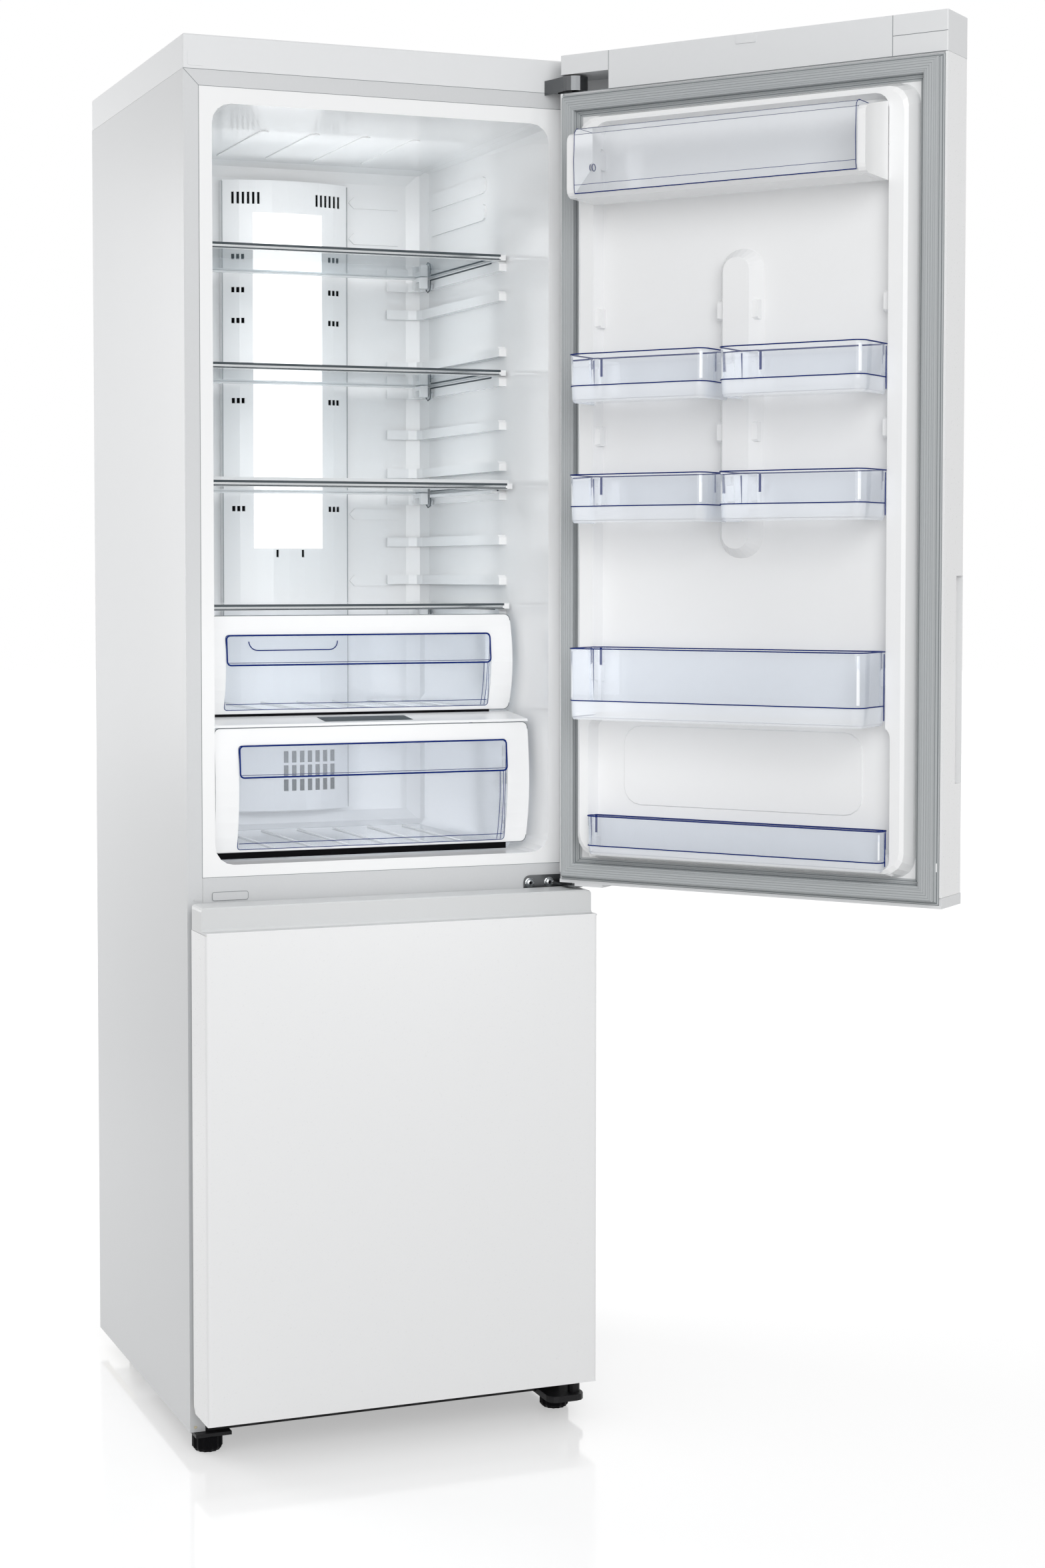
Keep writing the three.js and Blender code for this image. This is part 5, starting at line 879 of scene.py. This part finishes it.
CABINET_PARTS = (
    Shelf("shelf_top", "cabinet", 1733.5, 150.0),
    Shelf("shelf_second", "cabinet", 1558.0, 150.0),
    Shelf("sliding_shelf", "sliding_shelf", 1384.0, 124.0),
    Shelf("shelf_bottom", "cabinet", 1201.2, 136.0),
    DuctShades(), UPPER_DRAWER, LOWER_DRAWER, Scoop(UPPER_DRAWER), CabinetFront(),
)


# ---- pieces of the fridge door
@dataclass(frozen=True)
class Bin:
    """A clear bin on the door: straight behind, rounded in front, narrower where it reaches in between the lugs."""

    name: str
    x: Pair
    rear: Pair
    bottom: float
    top: float
    seam: float
    front: float = 95.0
    corner: float = 17.0
    back: float = 14.3
    wall: float = 5.3

    def rim(self, inset: float) -> np.ndarray:
        """The plan of the body: two quarter rounds in front, joined by straight runs.

        Args:
            inset: distance inside the outline.

        Returns:
            x and y from one rear corner to the other.
        """
        (x0, x1), r, front = self.x, self.corner - inset, self.front - self.corner
        return np.concatenate([
            [(x1 - inset, self.back)], bow(x1 - self.corner, front, r, 0, 90),
            bow(x0 + self.corner, front, r, 90, 180), [(x0 + inset, self.back)]])

    def edges(self) -> Piece:
        """The dark lines: rims, seam, foot, and the uprights of the hooks and of the rear corners.

        Returns:
            The piece.
        """
        (x0, x1), (r0, r1) = self.x, self.rear
        outer = np.concatenate([self.rim(0.4), [(r0, self.back), (r0, self.wall), (r1, self.wall), (r1, self.back)]])
        inner = self.rim(3.0)
        inner[[0, -1], 1] += 3.0
        hooks = [[(x, self.wall + 0.3, z) for z in (self.top - 26, self.top - 1)] for x in (r0 + 0.5, r1 - 0.5)]
        corners = [[(x, self.back + 0.6, z) for z in (self.bottom + 7, self.top - 3)] for x in (x0 + 0.9, x1 - 0.9)]
        return Piece(self.name + "_edges", Coat.NAVY, "fridge_door", [
            Strand(lie(outer, self.top), ellipse(1.15, 0.95, 6), UP, True),
            Strand(lie(inner, self.top - 0.1), ellipse(0.6, 0.4, 6), UP, True),
            Strand(lie(self.rim(0.7), self.bottom + self.seam + 0.3), ellipse(0.5, 0.9, 6), UP),
            Strand(lie(self.rim(3.2), self.bottom + 3.5), ellipse(0.3, 0.3, 6), UP),
            *(Strand(line, ellipse(1.4, 0.9)) for line in hooks),
            *(Strand(line, ellipse(0.8, 0.7, 6)) for line in corners),
        ])

    def pieces(self) -> list[Piece]:
        """Dark edges, clear walls, a whiter base, and a painted highlight on each rounded corner.

        Returns:
            The pieces.
        """
        (x0, x1), (r0, r1) = self.x, self.rear
        seam = self.bottom + self.seam
        wall = Sheet([lie(self.rim(1.6), seam), lie(self.rim(0.6), self.top)])
        plan = [(x0 + 0.6, self.back), (r0, self.back), (r0, self.wall), (r1, self.wall), (r1, self.back),
                (x1 - 0.6, self.back)]
        rear = Sheet([lie(plan, self.bottom + 7), lie(plan, self.top)], FRONTWARD)
        rings = ((4.8, self.bottom), (2.6, self.bottom + 4), (1.8, seam))
        base = Sheet([lie(self.rim(inset), z) for inset, z in rings])
        floor = lie(self.rim(4.0), self.bottom + 3)
        halfway = len(floor) // 2
        ground = Sheet([floor[:halfway], floor[halfway:][::-1]], DOWN)
        # Painted highlights: pale strips down the middle of each rounded front corner.
        r, front, half = self.corner - 1.2, self.front - self.corner, (self.top - seam) / 2
        arcs = ((x1 - self.corner, 42, 58), (x0 + self.corner, 122, 138))
        painted_highlights = [
            Strand(lie(bow(x, front, r, start, end), (seam + self.top) / 2), oblong(0.25, half - 4), UP)
            for x, start, end in arcs]
        return [
            self.edges(),
            Piece(self.name + "_walls", Coat.CLEAR, "fridge_door", [wall, rear], (self.name,)),
            Piece(self.name + "_base", Coat.MILK, "fridge_door", [base, ground]),
            Piece(self.name + "_gleams", Coat.PAINTED_HIGHLIGHT, "fridge_door", painted_highlights),
        ]


@dataclass(frozen=True)
class Gasket:
    """The magnetic gasket of a door: a ribbed section, mitred at the corners."""

    name: str
    body: str
    bottom: float
    top: float
    half: float = 293.0
    seat: float = -15.9
    groove_insets: tuple[float, ...] = (9.5, 13.0, 16.5, 20.0)
    outer: Outline = (
        (0, 0), (0, 1.7), (0.7, 2.3), (1.6, 2.3), (2.2, 1.6), (3.0, 2.6), (4.2, 4.2), (5.3, 8.0), (5.1, 10.6),
        (5.5, 13.4), (6.6, 14.9), (8.2, 15.3))
    inner: Outline = (
        (23.2, 15.2), (24.8, 14.4), (25.5, 12.8), (25.2, 9.6), (24.2, 7.6), (25.0, 6.2), (26.4, 5.8), (27.2, 4.4),
        (28.3, 4.3), (29.0, 3.0), (30.2, 3.0), (30.9, 1.9), (32.3, 1.8), (33.4, 1.0), (33.4, 0))
    # Painted shade in the folds: inset and half width of each dark and soft line.
    lines: Outline = ((2.6, 0.7), (4.9, 0.5), (26.0, 0.7), (30.6, 0.6))
    soft_lines: Outline = ((7.4, 0.5), (10.0, 0.5), (20.5, 0.5), (22.6, 0.5), (28.2, 0.6))

    def profile(self) -> np.ndarray:
        """Inset from the outer edge and height over the door's back face, from the foot round the bead and back.

        Returns:
            The pairs.
        """
        groove = ((0.0, 15.3), (0.5, 14.6), (1.0, 15.3))
        grooves = [(inset + across, height) for inset in self.groove_insets for across, height in groove]
        return np.array([*self.outer, *grooves, *self.inner], float)

    def traced(self, inset: float, radius: float) -> Strand:
        """A fine painted shade line laid round the gasket, on the height of its section there.

        Args:
            inset: distance inside the outer edge.
            radius: half its width.

        Returns:
            The line.
        """
        body = self.profile()[1:-1]
        height = float(np.interp(inset, body[:, 0], body[:, 1])) + self.seat + 0.05
        loop = stand(box_loop(self.half - inset, self.bottom + inset, self.top - inset), height)
        return Strand(loop, ellipse(radius, 0.25, 6), closed=True)

    def pieces(self) -> list[Piece]:
        """Painted shade lines in the folds, dark and soft, the gasket itself, and a line in each mitred corner. The
        side of a Strand on a box_loop leads outward, so the section's insets are taken as negative.

        Returns:
            The pieces.
        """
        ring = Strand(
            stand(box_loop(self.half, self.bottom, self.top), self.seat), self.profile() * (-1, 1), closed=True)
        lines, soft = ([self.traced(*line) for line in group] for group in (self.lines, self.soft_lines))
        inset, height = self.profile()[1:-1][::3].T
        mitres = [
            Strand(np.stack([side * (self.half - inset), height + self.seat + 0.15, z - end * inset], -1),
                   ellipse(0.22, 0.25, 6), (side, 0.0, -end))
            for side in SIDES for z, end in ((self.bottom, -1), (self.top, 1))]
        return [
            Piece(self.name + "_lines", Coat.LINE, self.body, lines),
            Piece(self.name + "_soft_lines", Coat.SOFT_LINE, self.body, soft),
            Piece(self.name + "_ribbed", Coat.GASKET, self.body, [ring], (self.name,), 32.0),
            Piece(self.name + "_mitres", Coat.LINE, self.body, mitres),
        ]


@dataclass(frozen=True)
class DairyLid:
    """The clear lid over the dairy box: a rounded shell between two cheeks that swing on pivots."""

    half: float = 212.6
    pivot: Pair = (42.0, 1833.0)
    boss: float = 7.0
    ring: float = 5.0
    ring_x: float = 210.2
    cheek_x: float = 212.2
    levels: tuple[Point, ...] = (
        (42.0, 1882.2, 0.6), (82.0, 1881.9, 0.75), (93.2, 1789.9, 0.75), (96.0, 1801.5, 0.35))

    def shell(self) -> np.ndarray:
        """The lid from the side, as y and z: a flat top, a rounded edge and a front that leans in to its foot."""
        front = [(97.2, 1835.7), (95.7, 1797.5), (93.2, 1789.8)]
        return np.concatenate([[(42, 1882.0), (81, 1882.0)], bow(83, 1870, 12.2, 80, 10, 4), front])

    def pieces(self) -> list[Piece]:
        """The clear shell with its cheeks, and the dark lines of its ends, edges and pivots.

        Returns:
            The pieces.
        """
        shell, ring = self.shell(), bow(*self.pivot, self.ring, 0, 345, 15)
        ends = [Strand(side_on(shell, side * (self.half - 0.2)), ellipse(0.5, 0.45, 6), SIDEWAYS) for side in SIDES]
        across = [
            Strand([(side * self.half, y, z) for side in SIDES], ellipse(r, r, 6), UP) for y, z, r in self.levels]
        rings = [Strand(side_on(ring, side * self.ring_x), ellipse(0.7, 0.7, 6), SIDEWAYS, True) for side in SIDES]
        near = self.pivot + unit(shell - self.pivot) * self.boss
        lid = Sheet([side_on(shell, side * self.half) for side in SIDES])
        cheeks = [
            Sheet([side_on(line, side * self.cheek_x) for line in (shell, near)], (side, 0.0, 0.0)) for side in SIDES]
        return [
            Piece("dairy_lid_shell", Coat.CLEAR, "dairy_lid", [lid, *cheeks], ("dairy_lid",)),
            Piece("dairy_lid_edges", Coat.NAVY, "dairy_lid", ends + across + rings),
        ]


@dataclass(frozen=True)
class DoorBack:
    """The seams on the door's back: round the gasket and between the top cap's parts, and the clip by the edge."""

    half: float = 293.2
    bottom: float = 804.5
    top: float = 1951.2
    cap_half: float = 296.8
    cap_split: float = 218.0
    cap_top: float = 2009.2

    def pieces(self) -> list[Piece]:
        """The seams and the clip.

        Returns:
            The pieces.
        """
        thin, split = oblong(0.35, 0.12), self.cap_split
        edge = stand(box_loop(self.half, self.bottom, self.top), -15.8)
        cap = [
            [(-self.cap_half, 1954.4), (self.cap_half, 1954.4)], [(-split, 1954.6), (-split, self.cap_top)],
            [(-split, 1981.5), (-self.cap_half, 1981.5)], [(split, 1982), (split, self.cap_top)],
        ]
        clip = Strand([(-289.0, -14.4, z) for z in (850.0, 862.0)], oblong(2.0, 1.6, 0.6))
        seams = [Strand(edge, thin, closed=True), *(Strand(stand(line, -15.95), thin) for line in cap)]
        return [
            Piece("door_back_seams", Coat.LINE, "fridge_door", seams),
            Piece("door_edge_clip", Coat.WHITE_PLASTIC, "fridge_door", [clip]),
        ]


DOOR_PARTS = (
    *(Bin(f"bin_{level}_{side}", x, rear, foot, foot + 68.0, 23.0)
      for level, foot in (("upper", 1497.0), ("lower", 1327.0))
      for side, x, rear in (("right", (9.0, 225.2), (34.3, 216.9)), ("left", (-225.2, -9.0), (-216.9, -34.3)))),
    Bin("bin_deep", (-225.2, 225.2), (-216.9, 216.9), 1048.0, 1149.0, 27.0),
    Bin("bin_bottom", (-228.2, 228.2), (-223.9, 223.9), 849.0, 905.0, 13.0, 32.0, 10.0),
    Gasket("fridge_door_gasket", "fridge_door", 805.0, 1951.0), DairyLid(), DoorBack(),
)


# ---- studio
@dataclass(frozen=True)
class Lamp:
    """A soft area lamp: its place, the point it faces, its sides in metres, its watts, and whether gloss shows it."""

    name: str
    place: Point
    toward: Point
    sides: Pair
    power: float
    mirrored: bool = True

    def build(self) -> None:
        """Adds the lamp, hidden from the camera itself."""
        data = bpy.data.lights.new(self.name, "AREA")
        data.shape, (data.size, data.size_y), data.energy = "RECTANGLE", self.sides, self.power
        obj = put(self.name, data)
        obj.location = self.place
        obj.rotation_euler = (Vector(self.toward) - Vector(self.place)).to_track_quat("-Z", "Y").to_euler()
        obj.visible_camera = False
        obj.visible_glossy = self.mirrored


@dataclass(frozen=True)
class Studio:
    """Camera, lamps, floor and world round the object, in the frame's metres."""

    camera_at: Point = (-1.44084, -3.54834, 1.25696)
    yaw: float = 20.77
    pitch: float = -2.59
    roll: float = 0.05
    lens: float = 59.25
    shift: Pair = (0.0516, -0.0604)
    world_light: float = 0.60
    floor_radius: float = 30.0
    floor_sides: int = 64
    floor_grey: float = 0.62
    floor_lift: float = 0.42
    lamps: tuple[Lamp, ...] = (
        Lamp("key", (-0.9, -4.3, 2.3), (0.0, 0.0, 1.0), (3.0, 3.0), 88.0),
        Lamp("left", (-2.0, 2.1, 1.5), (-0.45, 0.3, 1.1), (1.4, 1.4), 26.0),
        Lamp("inside", (-0.189, 0.17, 1.45), (-0.189, 2.0, 1.45), (0.38, 0.90), 0.62, False),
        Lamp("drawer_fronts", (-0.189, -0.36, 1.10), (-0.189, 0.12, 0.98), (0.40, 0.12), 0.30, False),
        Lamp("panel", (-0.189, 0.425, 1.565), (-0.189, -2.0, 1.565), (0.11, 0.53), 0.75, False),
        Lamp("ceiling", (-0.189, 0.16, 1.80), (-0.189, 0.30, 3.0), (0.36, 0.24), 0.13, False),
        Lamp("above_drawers", (-0.189, 0.12, 1.375), (-0.189, 0.34, 1.0), (0.40, 0.2), 0.16, False),
        Lamp("upper_drawer", (-0.189, 0.135, 1.178), (-0.189, 0.32, 1.04), (0.38, 0.05), 0.36, False),
        Lamp("lower_drawer", (-0.189, 0.085, 1.014), (-0.189, 0.26, 0.85), (0.38, 0.05), 0.42, False),
    )

    def camera(self) -> None:
        """Sets the camera at the photograph's place and angle."""
        data = bpy.data.cameras.new("camera")
        data.lens, data.sensor_width, data.sensor_fit = self.lens, 36.0, "AUTO"
        data.shift_x, data.shift_y = self.shift
        data.clip_end = 200.0
        obj = put("camera", data)
        obj.location = self.camera_at
        obj.rotation_euler = [math.radians(a) for a in (90 + self.pitch, self.roll, -self.yaw)]
        bpy.context.scene.camera = obj

    def world(self) -> None:
        """A plain world that the camera, mirrors and glass see as white."""
        graph = Graph(bpy.data.worlds.new("studio"))
        path = graph.add("LightPath").outputs
        plain, white = (graph.add("Background", Color=WHITE, Strength=light) for light in (self.world_light, 1.0))
        seen = graph.maths("MAXIMUM", path["Is Camera Ray"], path["Is Glossy Ray"])
        seen = graph.maths("MAXIMUM", seen, path["Is Transmission Ray"])
        graph.show(graph.blend(seen, plain, white))
        bpy.context.scene.world = graph.owner

    def floor(self) -> None:
        """A pale glossy disc that keeps the shadow and looks white away from it."""
        rim = lie(ellipse(self.floor_radius, self.floor_radius, self.floor_sides), 0.0)
        mesh = bpy.data.meshes.new("floor")
        mesh.from_pydata(rim.tolist(), [], [list(range(self.floor_sides))])
        graph = Graph(bpy.data.materials.new("studio_floor"))
        path = graph.add("LightPath").outputs
        grey = (self.floor_grey, self.floor_grey, self.floor_grey, 1)
        base = graph.add("BsdfPrincipled", Base_Color=grey, Roughness=0.10)
        seen = graph.maths("MAXIMUM", path["Is Camera Ray"], path["Is Glossy Ray"])
        glow = graph.add("Emission", Strength=graph.maths("MULTIPLY", seen, self.floor_lift))
        graph.show(graph.add("AddShader", base, glow))
        mesh.materials.append(graph.owner)
        obj = put("floor", mesh)
        obj.location = (0, 0, -0.0005)

    def build(self) -> None:
        """Sets up the whole studio."""
        bpy.context.scene.view_settings.view_transform = "Standard"
        self.camera()
        for lamp in self.lamps:
            lamp.build()
        self.world()
        self.floor()


def main() -> None:
    """Loads the frame, dresses it, and adds the fine pieces and the studio; each piece logs its count of faces."""
    logging.basicConfig(level=logging.INFO, format="%(name)s: %(message)s")
    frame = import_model()
    dress_nodes(frame["nodes"])
    for space, parts in ((Space.of_frame(), CABINET_PARTS), (Space.of_frame(DOOR_OPENING), DOOR_PARTS)):
        for part in parts:
            for piece in part.pieces():
                piece.build(space)
    Studio().build()


if __name__ == "__main__":
    main()
